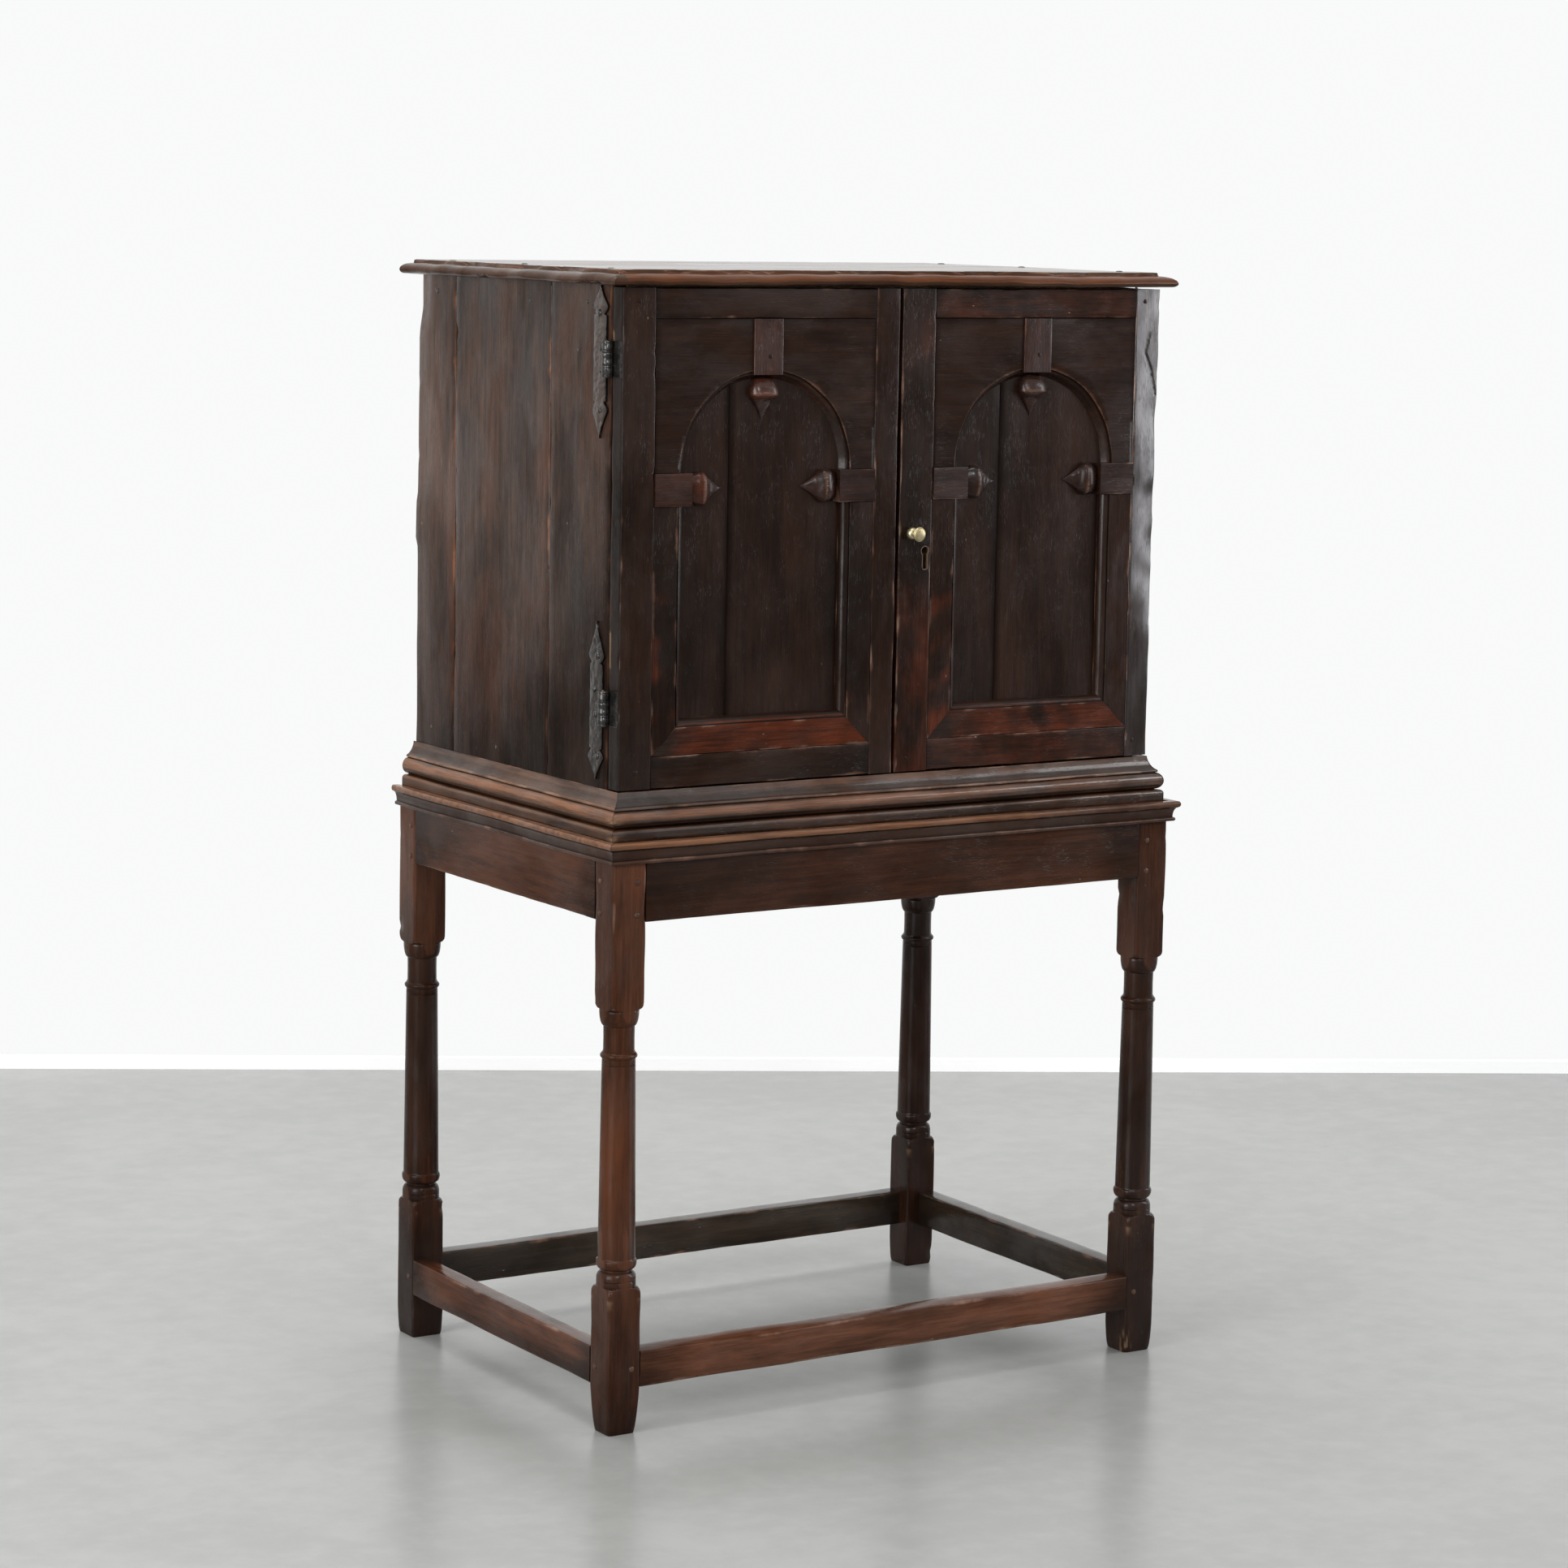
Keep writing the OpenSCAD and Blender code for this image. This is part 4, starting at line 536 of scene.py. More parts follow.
def forged_iron(name):
    """Black forged iron: hammered hollows, a little brown rust and arrises rubbed bright."""
    f = Finish(bpy.data.materials.new(name))
    wear, grime, brown = f.marks()
    mottle = f.noise(f.place(), 70, 5, 0.65)
    hollows = f.add("TexVoronoi", feature="SMOOTH_F1", inputs={"Vector": f.place(), "Scale": 150.0})
    colour = f.blend((0.010, 0.0095, 0.009), (f.step(mottle, 0.4, 0.65), (0.028, 0.024, 0.021)),
                     (f.step(f.noise(f.place(), 24, 4, 0.6), 0.56, 0.7), (0.065, 0.034, 0.02)),
                     (f.step(wear * 0.7 + mottle * 0.6, 0.8, 1.15), (0.16, 0.14, 0.12)),
                     # the dark mark lays near-black: soiling, and painted shade along plate edges and in
                     # knuckle grooves
                     (brown, (0.058, 0.037, 0.028)), (grime, (0.004, 0.0035, 0.003)))
    return f.surface({"Base Color": colour, "Roughness": mottle * 0.28 + 0.08, "Metallic": 0.1,
                      "Specular IOR Level": 0.5, "Normal": f.bump(hollows * 0.7 + mottle * 0.4, 0.0009)})


def old_brass(name):
    """Dull yellow brass with brown tarnish in patches and small dents."""
    f = Finish(bpy.data.materials.new(name))
    mottle = f.noise(f.place(), 160, 5, 0.6)
    broad = f.noise(f.place(), 60, 3, 0.5)
    colour = f.blend((0.37, 0.31, 0.175), (f.step(broad, 0.4, 0.62), (0.53, 0.47, 0.30)),
                     (f.step(mottle, 0.58, 0.72), (0.20, 0.15, 0.08)))
    return f.surface({"Base Color": colour, "Metallic": 0.9, "Roughness": mottle * 0.3 + 0.22,
                      "Normal": f.bump(mottle, 0.0002)})


CASE = dict(dark=(0.0095, 0.0047, 0.0030), mid=(0.0270, 0.0112, 0.0064), red=(0.110, 0.0235, 0.0080),
            worn=(0.135, 0.066, 0.044), shine=0.165, gloss=0.20, waves=0.0003, grain=0.4, scuffs=0.12,
            pore=0.3)
SIDE = dict(dark=(0.0210, 0.0110, 0.0072), mid=(0.0890, 0.0435, 0.0275), red=(0.130, 0.042, 0.020),
            worn=(0.250, 0.086, 0.034), scuffs=0.9, specks=0.9, gloss=0.20, shine=0.23, patch=(0.385, 0.635),
            waves=0.0004, cloud=0.5, grain=0.7, dull=0.9)
STAND = dict(dark=(0.0340, 0.0115, 0.0052), mid=(0.1180, 0.0390, 0.0158), red=(0.105, 0.026, 0.0090),
             worn=(0.180, 0.085, 0.052), gloss=0.13, scuffs=0.1, shine=0.19, patch=(0.37, 0.65), pale=0.5,
             grain=0.3, waves=0.0002, pore=0.4)
TOP = dict(dark=(0.034, 0.016, 0.009), mid=(0.070, 0.031, 0.016), red=(0.096, 0.031, 0.011),
           worn=(0.135, 0.052, 0.025), gloss=0.12, scuffs=0.15, shine=0.11, grain=0.1, waves=0.0001)
BASE = dict(gloss=0.09, grain=0.2, waves=0.0005, scuffs=0.1, specks=0.25)
PLAIN = dict(dark=(0.085, 0.05, 0.03), mid=(0.24, 0.155, 0.095), red=(0.16, 0.08, 0.045),
             worn=(0.30, 0.21, 0.14), gloss=0.62, scuffs=0.1, specks=0.2, grain=1.2, shine=0.25)
LINER = dict(dark=(0.05, 0.03, 0.02), mid=(0.12, 0.075, 0.05), red=(0.12, 0.07, 0.05), worn=(0.2, 0.15, 0.1),
             gloss=0.4, shine=0.5)


def finishes():
    """Every finish of the cabinet, by name. A letter at the end gives the way of the grain."""
    FINISHES.update(iron=forged_iron("forged_iron"), brass=old_brass("old_brass"))
    for name, ways, look, own in (
        ("case", "xz", CASE, {}),
        ("stand", "xyz", STAND, {}),
        ("plain", "xyz", PLAIN, {}),
        ("side", "z", SIDE, {}),
        ("top", "x", TOP, {}),
        ("liner", "z", LINER, {}),
        ("base", "x", BASE, dict(dark=(0.018, 0.0085, 0.0050), mid=(0.115, 0.0470, 0.0220),
                                 red=(0.175, 0.068, 0.029), worn=(0.200, 0.100, 0.056), shine=0.55)),
        ("base", "y", BASE, dict(dark=(0.022, 0.0100, 0.0055), mid=(0.128, 0.055, 0.025),
                                 red=(0.210, 0.085, 0.037), worn=(0.260, 0.125, 0.064), shine=0.36)),
        ("sheen", "z", CASE, dict(shine=0.5, gloss=0.22, waves=0.0005)),
        ("panel", "z", CASE, dict(specks=0.3, cloud=0.3, dull=0.95)),
        ("panel", "x", CASE, dict(specks=0.35, dull=0.95)),
        # Blocks: the rubbed arrises go palest, partly a painted highlight along the edges.
        ("block", "xz", CASE, dict(mid=(0.036, 0.0145, 0.0100), shine=0.26, gloss=0.22, pale=0.9)),
        ("lip", "x", STAND, dict(mid=(0.060, 0.026, 0.014), red=(0.190, 0.082, 0.038),
                                 worn=(0.210, 0.110, 0.070), shine=0.3)),
        ("low", "x", STAND, dict(dark=(0.055, 0.020, 0.0095), mid=(0.170, 0.066, 0.034),
                                 worn=(0.300, 0.180, 0.125), shine=0.22)),
        # shade: a darker copy of the stand's oak for the back and right stretchers, which paints their shade.
        ("shade", "xy", STAND, dict(dark=(0.017, 0.0115, 0.0075), mid=(0.048, 0.0290, 0.0175), shine=0.33)),
        ("peg", "y", STAND, dict(dark=(0.05, 0.024, 0.014), mid=(0.12, 0.060, 0.036))),
    ):
        for way in ways:
            FINISHES[f"{name}_{way}"] = oak(f"{name}_oak_{way}", way, **{**look, **own})


# The stand

def leg(node, x, y, seed, taper=0.0012, taper_h=0.035, left_face_shade=0.0):
    """A leg in one surface of angle and height. Its radius is the smaller of the turned profile and a
    square with worn corners, which is a superellipse whose power falls where the corners are rounder."""
    turned = np.concatenate([
        [[0.040, 0.0], [0.040, 0.1698]],
        arc_points((0.0340, 0.170), (0.0254, 0.1885), 9, True),
        [[0.0246, 0.1892], [0.0250, 0.1900], [0.025, 0.1955], [0.0241, 0.1962], [0.0250, 0.1970]],
        arc_points((0.0250, 0.1975), (0.01975, 0.208), 7, True)[1:],
        [[0.01975, 0.2108]],
        arc_points((0.0205, 0.211), (0.02575, 0.2195), 5, False),
        arc_points((0.02575, 0.2197), (0.0242, 0.2238), 4, True)[1:],
        [[0.0237, 0.2246], [0.0237, 0.2262]],
        [[0.0224, 0.36], [0.0212, 0.4700], [0.0206, 0.4706], [0.0212, 0.4714], [0.0210, 0.4779]],
        np.stack([0.0210 + 0.0025 * np.sin(np.linspace(0, np.pi, 9)), np.linspace(0.478, 0.4862, 9)], -1),
        [[0.0204, 0.4864], [0.0203, 0.4879], [0.0197, 0.4882], [0.0195, 0.505], [0.0197, 0.5195]],
        arc_points((0.0197, 0.520), (0.0250, 0.5393), 7, False)[1:],
        [[0.0246, 0.5400], [0.0254, 0.5408]],
        arc_points((0.0256, 0.5410), (0.0340, 0.5600), 9, False)[1:],
        [[0.040, 0.5602], [0.040, STAND_H]],
    ])
    toe_h, soft = 0.009, 0.0008
    heights = [spread(z0, z1, 0.009)[1:] for z0, z1 in zip(turned[:-1, 1], turned[1:, 1])]
    z = np.sort(np.concatenate([[0.0], arc_points((0, 0), (toe_h, toe_h), 6, False)[1:, 1], *heights]))
    radius = np.interp(z, turned[:, 1], turned[:, 0])[:, None]
    t = np.linspace(0, 2 * np.pi, 96, endpoint=False)
    angle = (t + 0.17 * np.sin(4 * t))[None]
    place = np.stack([np.full_like(z, x), np.full_like(z, y), z], -1)
    narrow = taper * (1 - z / taper_h).clip(0, 1)
    half = (LEG / 2 - narrow - 0.0004 * (wobble(place, seed, 0.1) + 1) * 0.5)[:, None]
    power = (19 + 6 * wobble(place, seed + 1, 0.08) - 4 * (1 - smooth(z, 0.0, 0.02)))[:, None]
    square = half / (np.abs(np.cos(angle)) ** power + np.abs(np.sin(angle)) ** power) ** (1 / power)
    toe = np.sqrt(np.clip(1 - ((toe_h - z) / toe_h).clip(0, 1) ** 2, 0, 1))[:, None]
    square = square * (0.94 + 0.06 * toe)
    both = np.minimum(square, radius) - soft * np.exp(-np.abs(square - radius) / soft) * 0.5
    z = z[:, None]
    level = z + 0 * both
    around = np.stack([angle * 0.02 + 0 * both, x + 0 * both, level], -1)
    nick = np.clip(wobble(around, seed + 5, 0.03) - 0.75, 0, 1)
    both = both - 0.003 * nick * np.abs(np.sin(2 * angle)) ** 10 * (square < radius)
    points = np.stack([x + both * np.cos(angle), y + both * np.sin(angle), level], -1)

    apart = z[:, 0] + 1e-9 * np.arange(len(z))
    curve = -np.gradient(np.gradient(radius[:, 0], apart), apart)[:, None] * 0.0006
    round_part = square >= radius
    broken = (0.45 + 0.55 * wobble(points, seed + 6, 0.05)).clip(0, 1)
    wear = np.abs(np.sin(2 * angle)) ** 24 * (square < radius) * broken
    wear = wear + 0.7 * round_part * smooth(curve, 0.05, 0.6)
    # Painted highlight: the V facets where the square meets each turned shoulder are lightened as if rubbed.
    shoulder_highlight = (np.abs(z - 0.1795) < 0.0075) | (np.abs(z - 0.5505) < 0.0075)
    wear = np.maximum(wear, 1.1 * round_part * shoulder_highlight * smooth(both, 0.0262, 0.0275))
    # Darker in the turned hollows: soiled, and painted shade in the creases.
    grime = round_part * smooth(-curve, 0.08, 0.8) * 0.6
    # Painted shade: the back legs and the right legs are darker all over; the turned parts are darker too.
    away = 0.40 * (y > 0) + 0.50 * (x > 0) + 0.42 * round_part
    # Darker low down towards the floor, with soft patches.
    dirt_and_shade = 0.70 * (1 - smooth(z, 0.10, 0.26)) + 0.25 * (1 - smooth(z, 0.0, 0.05))
    dirt_and_shade = dirt_and_shade + 0.16 * wobble(points, seed + 8, 0.16) + away
    # Painted shade on the left face of the upper square of the left legs.
    dirt_and_shade = dirt_and_shade + left_face_shade * smooth(-np.cos(angle), 0.55, 0.8) * smooth(z, 0.50, 0.56)
    chips = smooth(wobble(points, seed + 9, 0.014), 0.1, 0.5) * (1 - smooth(z, 0.012, 0.04))
    outer_corner = smooth(np.cos(angle + 3 * np.pi / 4 - np.pi / 2 * (x < 0)), 0.93, 0.99)
    chips = chips * outer_corner * (0.75 if x > 0 > y else 0)
    cut = band(z, 0.1725, 0.0018, 0.0042) * np.abs(np.sin(2 * angle)) ** 40
    chips = np.maximum(chips, 0.55 * cut * smooth(wobble(points, seed + 11, 0.02), -0.5, 0.1))
    shape = Shape()
    shape.add(points, wear=wear, grime=np.maximum(grime, dirt_and_shade), red=0.25 * round_part, tone=(seed * 0.41) % 1,
              dry=chips)
    shape.build(node, "stand_z", "stand_oak", sharp=42)


def stand():
    """The legs, the rails and stretchers between them, the moulding round the top and the pegs."""
    for k, (hand, side) in enumerate(HANDS):
        x = side * (HALF_STAND - LEG / 2)
        # The left legs' feet taper more, and their left faces get painted shade.
        foot = dict(taper=0.0032, taper_h=0.062, left_face_shade=0.55) if side < 0 else {}
        leg("leg_front_" + hand, x, LEG_FRONT + LEG / 2, 3 + k, **foot)
        leg("leg_back_" + hand, x, LEG_BACK - LEG / 2, 13 + k)
    x, y0, y1, thick = HALF_STAND - LEG, LEG_FRONT + LEG, LEG_BACK - LEG, 0.026

    def droop(points):
        """The front stretcher's upper arris is worn hollow, most of all near its left end."""
        px, py, pz = split_axes(points)
        hollow = 0.0035 * np.exp(-((px + 0.22) / 0.13) ** 2) + 0.0015
        pz -= smooth(pz, 0.09, 0.108) * fade(py, LEG_FRONT, -0.265) * hollow
        return points

    def ends(points):
        """Darker towards the legs and along the stretchers' lower part, and darker to the right, which is
        painted shade.
        """
        px, py, pz = split_axes(points)
        across = np.abs(px) / x
        reach = np.where(across > 1, np.abs(py) / (LEG_BACK - LEG), across).clip(0, 1)
        dirt_and_shade = 0.6 * smooth(reach, 0.72, 1.0) + 0.02 + 0.14 * wobble(points, 63, 0.2)
        return (dirt_and_shade + 0.3 * fade(pz, 0.066, 0.088) + 0.3 * smooth(px, 0.3, 0.4)).clip(0, 1)

    def left_ends(points):
        """Much darker towards the legs and along the lower half."""
        return (1.5 * ends(points) + 0.30 * fade(points[..., 2], 0.074, 0.092) + 0.04).clip(0, 0.97)

    spans = {"front": ((-x, LEG_FRONT), (x, LEG_FRONT + thick)),
             "back": ((-x, LEG_BACK - thick), (x, LEG_BACK)),
             "left": ((-HALF_STAND, y0), (-HALF_STAND + thick, y1)),
             "right": ((HALF_STAND - thick, y0), (HALF_STAND, y1))}
    kinds = {"rail": (0.651, 0.748, dict(arris=0.0016)),
             "stretcher": (0.060, 0.108, dict(arris=0.0019, wave=0.0003))}
    for kind, where, finish, seed, red, grime, drift in (
        ("rail", "front", "stand_x", 21, 0.25, lambda p: (ends(p) + 0.52).clip(0, 0.95), None),
        ("rail", "back", "stand_x", 22, 0.0, ends, None),
        ("stretcher", "front", "low_x", 23, 0.3, ends, droop),
        ("stretcher", "back", "shade_x", 24, 0.0, ends, None),
        ("rail", "left", "stand_y", 25, 0.25, lambda p: (ends(p) + 0.30).clip(0, 0.95), None),
        ("stretcher", "left", "stand_y", 27, 0.2, left_ends, None),
        ("rail", "right", "stand_y", 26, 0.25, lambda p: (ends(p) + 0.30).clip(0, 0.95), None),
        ("stretcher", "right", "shade_y", 28, 0.2, ends, None),
    ):
        low, high, look = kinds[kind]
        board(f"{kind}_{where}", (*spans[where][0], low), (*spans[where][1], high), finish, "stand_oak",
              seed=seed, red=red, grime=grime, drift=drift, step=0.010, nicks=0.6, **look)

    z0, z1, out = 0.725, 0.752, 0.012
    profile = fill(np.concatenate([
        [[0, z0]],
        half_round(0.0048, z0 + 0.0027, 0.0022, 0.0026, 9),
        arc_points((0.0042, z0 + 0.0056), (0.0094, z1 - 0.0084), 8, True),
        [[0.0096, z1 - 0.0082]],
        half_round(out - 0.0026, z1 - 0.0040, 0.0026, 0.0040, 9),
        [[0, z1], [0, z0]],
    ]), 0.004)[:-1]

    def lip_red(points):
        """Redder on the lip, most of all to the left."""
        return 0.25 + 0.75 * smooth(points[..., 2], z1 - 0.0080, z1 - 0.0055) * (
            1 - 0.75 * smooth(points[..., 0], -0.1, 0.35))

    shape = Shape()
    # The lower bead's upper half is lightened, rubbed and a painted highlight, and the cove under the lip is
    # darkened as painted shade.
    look = dict(wave=0.0004, red=lip_red,
                zones=((z0 + 0.0026, z0 + 0.0046, 0.9, 0), (z0 + 0.0058, z0 + 0.017, 0, 0.35)))
    runs = runs_around(HALF_STAND, LEG_FRONT, LEG_BACK)
    for (_, run), seed, tone in zip(runs, (31, 32, 34), (0.3, 0.3, 0.7)):
        run_moulding(shape, profile, *run, seed=seed, tone=tone, **look)
    shape.build("stand_moulding", "lip_x", "stand_oak")

    shape = Shape()
    peg = np.array([[0.0003, -0.0010], [0.0024, -0.0009], [0.0036, -0.0004], [0.0042, 0.0006],
                    [0.0040, 0.0150], [0.0034, 0.0292], [0.0004, 0.0294]])
    inset, look = 0.013, dict(sides=0.05, wear=0.3, grime=[0, 0, 0.35, 1, 1, 1, 1])
    for z in (0.660, 0.701, 0.084):
        for side in (-1, 1):
            for face, flip in ((LEG_FRONT, 1), (LEG_BACK, -1)):
                lathe(shape, peg * [1, flip], (side * (x + inset), face, z), "y", 12,
                      seed=int(z * 997) + side, tone=0.2, **look)
            for end in (y0 - inset, y1 + inset):
                lathe(shape, peg * [1, -side], (side * HALF_STAND, end, z), "x", 12,
                      seed=int(z * 991) + side, tone=0.8, **look)
    shape.build("stand_pegs", "peg_y", "red_oak")


# The case

def base_profile():
    """Band, quirk, torus, fillet and upper hollow, as distance out and height."""
    h, out = STAND_H, 0.018
    hollow = arc_points((0.0112, h + 0.0440), (0.0014, h + 0.0602), 9, False)
    t = np.linspace(0, 1, len(hollow))[:, None]
    hollow = 0.62 * hollow + 0.38 * (hollow[0] + (hollow[-1] - hollow[0]) * t)
    return fill(np.concatenate([
        [[0, h], [out - 0.0008, h], [out, h + 0.001], [out, h + 0.0130]],
        arc_points((out, h + 0.0130), (out - 0.0050, h + 0.0176), 5, True)[1:],
        [[0.0092, h + 0.0178]],
        half_round(0.0085, h + 0.0296, 0.0095, 0.0109, 17),
        [[0.0118, h + 0.0412], [0.0121, h + 0.0428]],
        hollow,
        [[0.0012, h + 0.062], [0, h + 0.062], [0, h]],
    ]), 0.0035)[:-1]


def base_mouldings():
    """The moulding round the foot of the case: three lengths that meet on mitres at the front."""
    profile = base_profile()

    def corner_chips(points):
        """Small dry chips on the torus and the band at the front left corner."""
        x, y, z = split_axes(points)
        near = 1 - smooth(np.hypot(x + HALF_CASE + 0.018, y - DOOR_FRONT + 0.018), 0.004, 0.014)
        level = np.maximum(band(z, 0.778, 0.004, 0.009), band(z, 0.757, 0.003, 0.007))
        return 0.8 * near * level * smooth(wobble(points, 47, 0.007), -0.1, 0.3)

    # Zones of the profile: painted shade under the torus, in the quirk at the fillet's foot and in the upper
    # hollow, most on the front, where it is soiled too; the band is darker; the fillet and the top of the
    # torus are lightened, rubbed and a painted highlight.
    for (where, run), way, seed, high, dirt_and_shade, right in zip(
            runs_around(HALF_CASE, DOOR_FRONT, CASE_BACK), "xyy", (41, 42, 43), (0.8085, 0.8025, 0.8025),
            (0.82, 0.45, 0.45), (0.65, 0, 0)):
        def torus_red_and_highlight(points, right=right):
            """Redder along the top of the torus, which is also a painted highlight there; on the front less
            to the right.
            """
            x, _, z = split_axes(points)
            return 0.15 + 0.85 * band(z, 0.7815, 0.002, 0.007) * (1 - right * smooth(x, -0.1, 0.3))

        shape = Shape()
        run_moulding(shape, profile, *run, seed=seed, wave=0.0005, chipped=corner_chips, red=torus_red_and_highlight,
                     tone=seed * 0.37 % 1,
                     zones=((0.766, 0.7745, 0, 0.75), (0.7895, 0.7912, 1.1, 0), (0.7895, 0.7898, 0, 0.9),
                            (0.748, 0.761, 0, 0.6), (0.7815, 0.7835, 1.0, 0), (0.7925, high, 0, dirt_and_shade)))
        shape.build("base_moulding_" + where, "base_" + way, "case_oak")


def case():
    """The case's mouldings, sides, back, bottom and what stands inside."""
    base_mouldings()

    def side_dirt_and_shade(points):
        """Darker towards the hinges and the foot, and in soft patches, partly soiling and partly painted
        shade; and a painted shadow on the front edge, beside the gap to the door.
        """
        y, z = points[..., 1], points[..., 2]
        low, fore = fade(z, 0.80, 1.15), fade(y, -0.22, 0.20)
        # painted shadow along the front edge, in the gap beside the door
        gap = fade(y, CASE_FRONT + 0.003, CASE_FRONT + 0.005)
        dirt_and_shade = 1.18 * low * (0.65 + 0.35 * fore) + 0.32 * fore + 0.16 * wobble(points, 50, 0.25)
        return (dirt_and_shade + gap).clip(0, 0.97)

    edges = [CASE_FRONT, -0.075, 0.178, CASE_BACK]
    for hand, side in HANDS:
        for k, part in enumerate(("front", "middle", "rear")):
            def shaped(points, side=side, part=part):
                """The rear board's outer arris is worn into shallow waves, and the front board is cut down
                a little under the right front corner of the top."""
                x, y, z = split_axes(points)
                if part == "rear":
                    bulge = smooth(z, 1.07, 1.078) * (1 - smooth(z, 1.125, 1.15))
                    wave = 0.9 - 0.9 * bulge + 0.35 * wobble(points, 61, 0.16)
                    near = smooth(y, CASE_BACK - 0.05, CASE_BACK) * smooth(side * x, INNER_X, HALF_CASE)
                    inward = near * (0.0022 * wave + 0.0045 * smooth(z, 1.345, 1.40))
                    y -= inward * 0.8
                    x -= side * inward
                if part == "front" and side > 0:
                    lift = 0.0035 * (1 - (y - CASE_FRONT) / 0.153).clip(0, 1)
                    z -= lift * smooth(z, CASE_TOP - 0.02, CASE_TOP)
                return points

            low, high = sorted((side * INNER_X, side * HALF_CASE))
            board(f"{hand}_side_{part}_board", (low, edges[k] + (0.0005 if k else 0.0017), STAND_H),
                  (high, edges[k + 1] - 0.0005, CASE_TOP), "side_z", "case_oak",
                  seed=51 + k + (10 if side > 0 else 0), arris=0.0018, step=0.012, wave=0.0004, nicks=2.0,
                  rub=0.003, drift=shaped, grime=side_dirt_and_shade,
                  red=lambda p: (0.24 + 0.26 * wobble(p, 57, 0.3)).clip(0, 1),
                  dry=lambda p, side=side: 1.0 * (side * p[..., 0] < INNER_X + 0.0009))

    board("plinth_rail", (-HALF_CASE, DOOR_FRONT, STAND_H), (HALF_CASE, CASE_FRONT, BASE_TOP), "case_x",
          "case_oak", seed=71, arris=0.001)
    shape, half, width, inside = Shape(), 0.3958, 0.7916 / 4, 0.2778
    for k in range(4):
        x = -half + k * width
        bar(shape, (x + 0.0003, 0.278, STAND_H), (x + width - 0.0003, CASE_BACK, CASE_TOP), "z", seed=73 + k,
            arris=0.0012, step=0.013, wave=0.0006, grime=0.2)
        if k:
            bar(shape, (x - 0.004, 0.2825, STAND_H + 0.001), (x + 0.004, 0.2855, CASE_TOP - 0.001), "z",
                seed=77 + k, arris=0.0004, step=0.05, wave=0.0)
    shape.build("back_boards", "plain_z", "plain_oak")
    board("bottom_board", (-0.3928, CASE_FRONT, 0.798), (0.3928, inside, 0.818), "plain_x", "plain_oak",
          seed=81, step=0.015)
    board("shelf", (-0.3857, -0.212, 1.120), (0.3857, inside, 1.138), "plain_x", "plain_oak", seed=82,
          arris=0.0022, step=0.015, worn=0.8)
    shape = Shape()
    for side in (-1, 1):
        low, high = sorted((side * 0.366, side * INNER_X))
        bar(shape, (low, -0.212, 1.100), (high, inside, 1.120), "y", seed=83 + side, arris=0.0014)
        bar(shape, (low, -0.142, 1.411), (high, inside, CASE_TOP), "y", seed=86 + side, arris=0.0014)
    shape.build("case_battens", "plain_y", "plain_oak")


def top_board(node, y0, y1, moulded_front, seed):
    """One of the top's two boards. Above and below, the height is the nose's profile at the distance to the
    nearest moulded edge, so that the profiles meet on a mitre at each corner. Noise moves the edge in and
    out, and small bites are taken from the left end's lower edge."""
    under, slab, thumb, thick, lip = 0.006, 0.0145, 0.0195, 0.019, 0.005
    left, right = -0.430, 0.424

    def quarter(steps):
        """1 - cos and sin of a quarter turn, in even steps."""
        turn = np.linspace(0, np.pi / 2, steps)
        return 1 - np.cos(turn), np.sin(turn)

    steps = np.concatenate([under * quarter(6)[0], np.linspace(0.0075, thumb, 8),
                            thumb + np.array([0.0003, 0.0012, 0.004, 0.012])])
    over_in = np.append(thumb * quarter(15)[0], [thumb + 0.0003, thumb + 0.0012, 1.0])
    over_up = np.append(lip + (slab - lip) * quarter(15)[1], [thick - 0.001, thick, thick])
    low_in, low_up = np.append(under * quarter(7)[0], 1.0), np.append(lip * (1 - quarter(7)[1]), 0.0)

    x = np.concatenate([left + steps, np.linspace(left + 0.045, right - 0.045, 66), right - steps[::-1]])
    y = np.linspace(y0, y1, 18)
    if moulded_front:
        y = np.concatenate([y0 + steps, np.linspace(y0 + 0.045, y1, 30)])
    x, y = np.meshgrid(x, y, indexing="ij")
    away = np.minimum(x - left, right - x)
    if moulded_front:
        away = np.minimum(away, y - y0)
    place = np.stack([x, y, 0 * x], -1)
    ragged = np.exp(-away / 0.02)
    rough = 0.0011 * wobble(place, 91, 0.07) + 0.0007 * wobble(place, 92, 0.02)
    high = np.interp(away + rough * smooth(away, 0.0, 0.012), over_in, over_up)
    low = np.interp(away, low_in, low_up)
    for at, size in ((-0.205, 0.006), (-0.188, 0.004), (-0.226, 0.0045), (-0.10, 0.003), (0.06, 0.0025)):
        low = low + 0.004 * fade(x - left, 0.002, 0.016) * np.exp(-((y - at) / size) ** 2)
    sag = -(0.0012 * wobble(place, 93, 0.35) + 0.0006 * wobble(place, 94, 0.06)) * ragged
    high = np.maximum(high + sag + 0.0003 * wobble(place, 95, 0.1), 0.004)
    high = np.minimum(high, thick)
    low = np.minimum(np.maximum(low + sag, 0.0) * (away < 0.014), high)
    px = x + 0.0012 * wobble(place, 96, 0.05) * ragged * smooth(away, 0.02, 0.0) * np.sign(x)
    edge = np.exp(-np.abs(away - thumb) / 0.0022) + 0.7 * np.exp(-away / 0.004)
    nose = (1 - fade(x - left, 0.016, 0.022)) * fade(away, thumb - 0.003, thumb)

    def over_and_under(over, below):
        """Joins a grid over the board to one under it, which runs back."""
        return np.concatenate([over, below[:, ::-1]], 1)

    shape = Shape()
    shape.add(over_and_under(np.stack([px, y, CASE_TOP + high], -1), np.stack([px, y, CASE_TOP + low], -1)),
              wear=over_and_under(edge, 0.5 * edge), red=over_and_under(nose, 0.3 * nose),
              tone=(seed * 0.37) % 1, dry=over_and_under(0 * away, 1.0 * (away > 0.03)))
    shape.build(node, "top_x", "top_oak", sharp=35)


# The doors

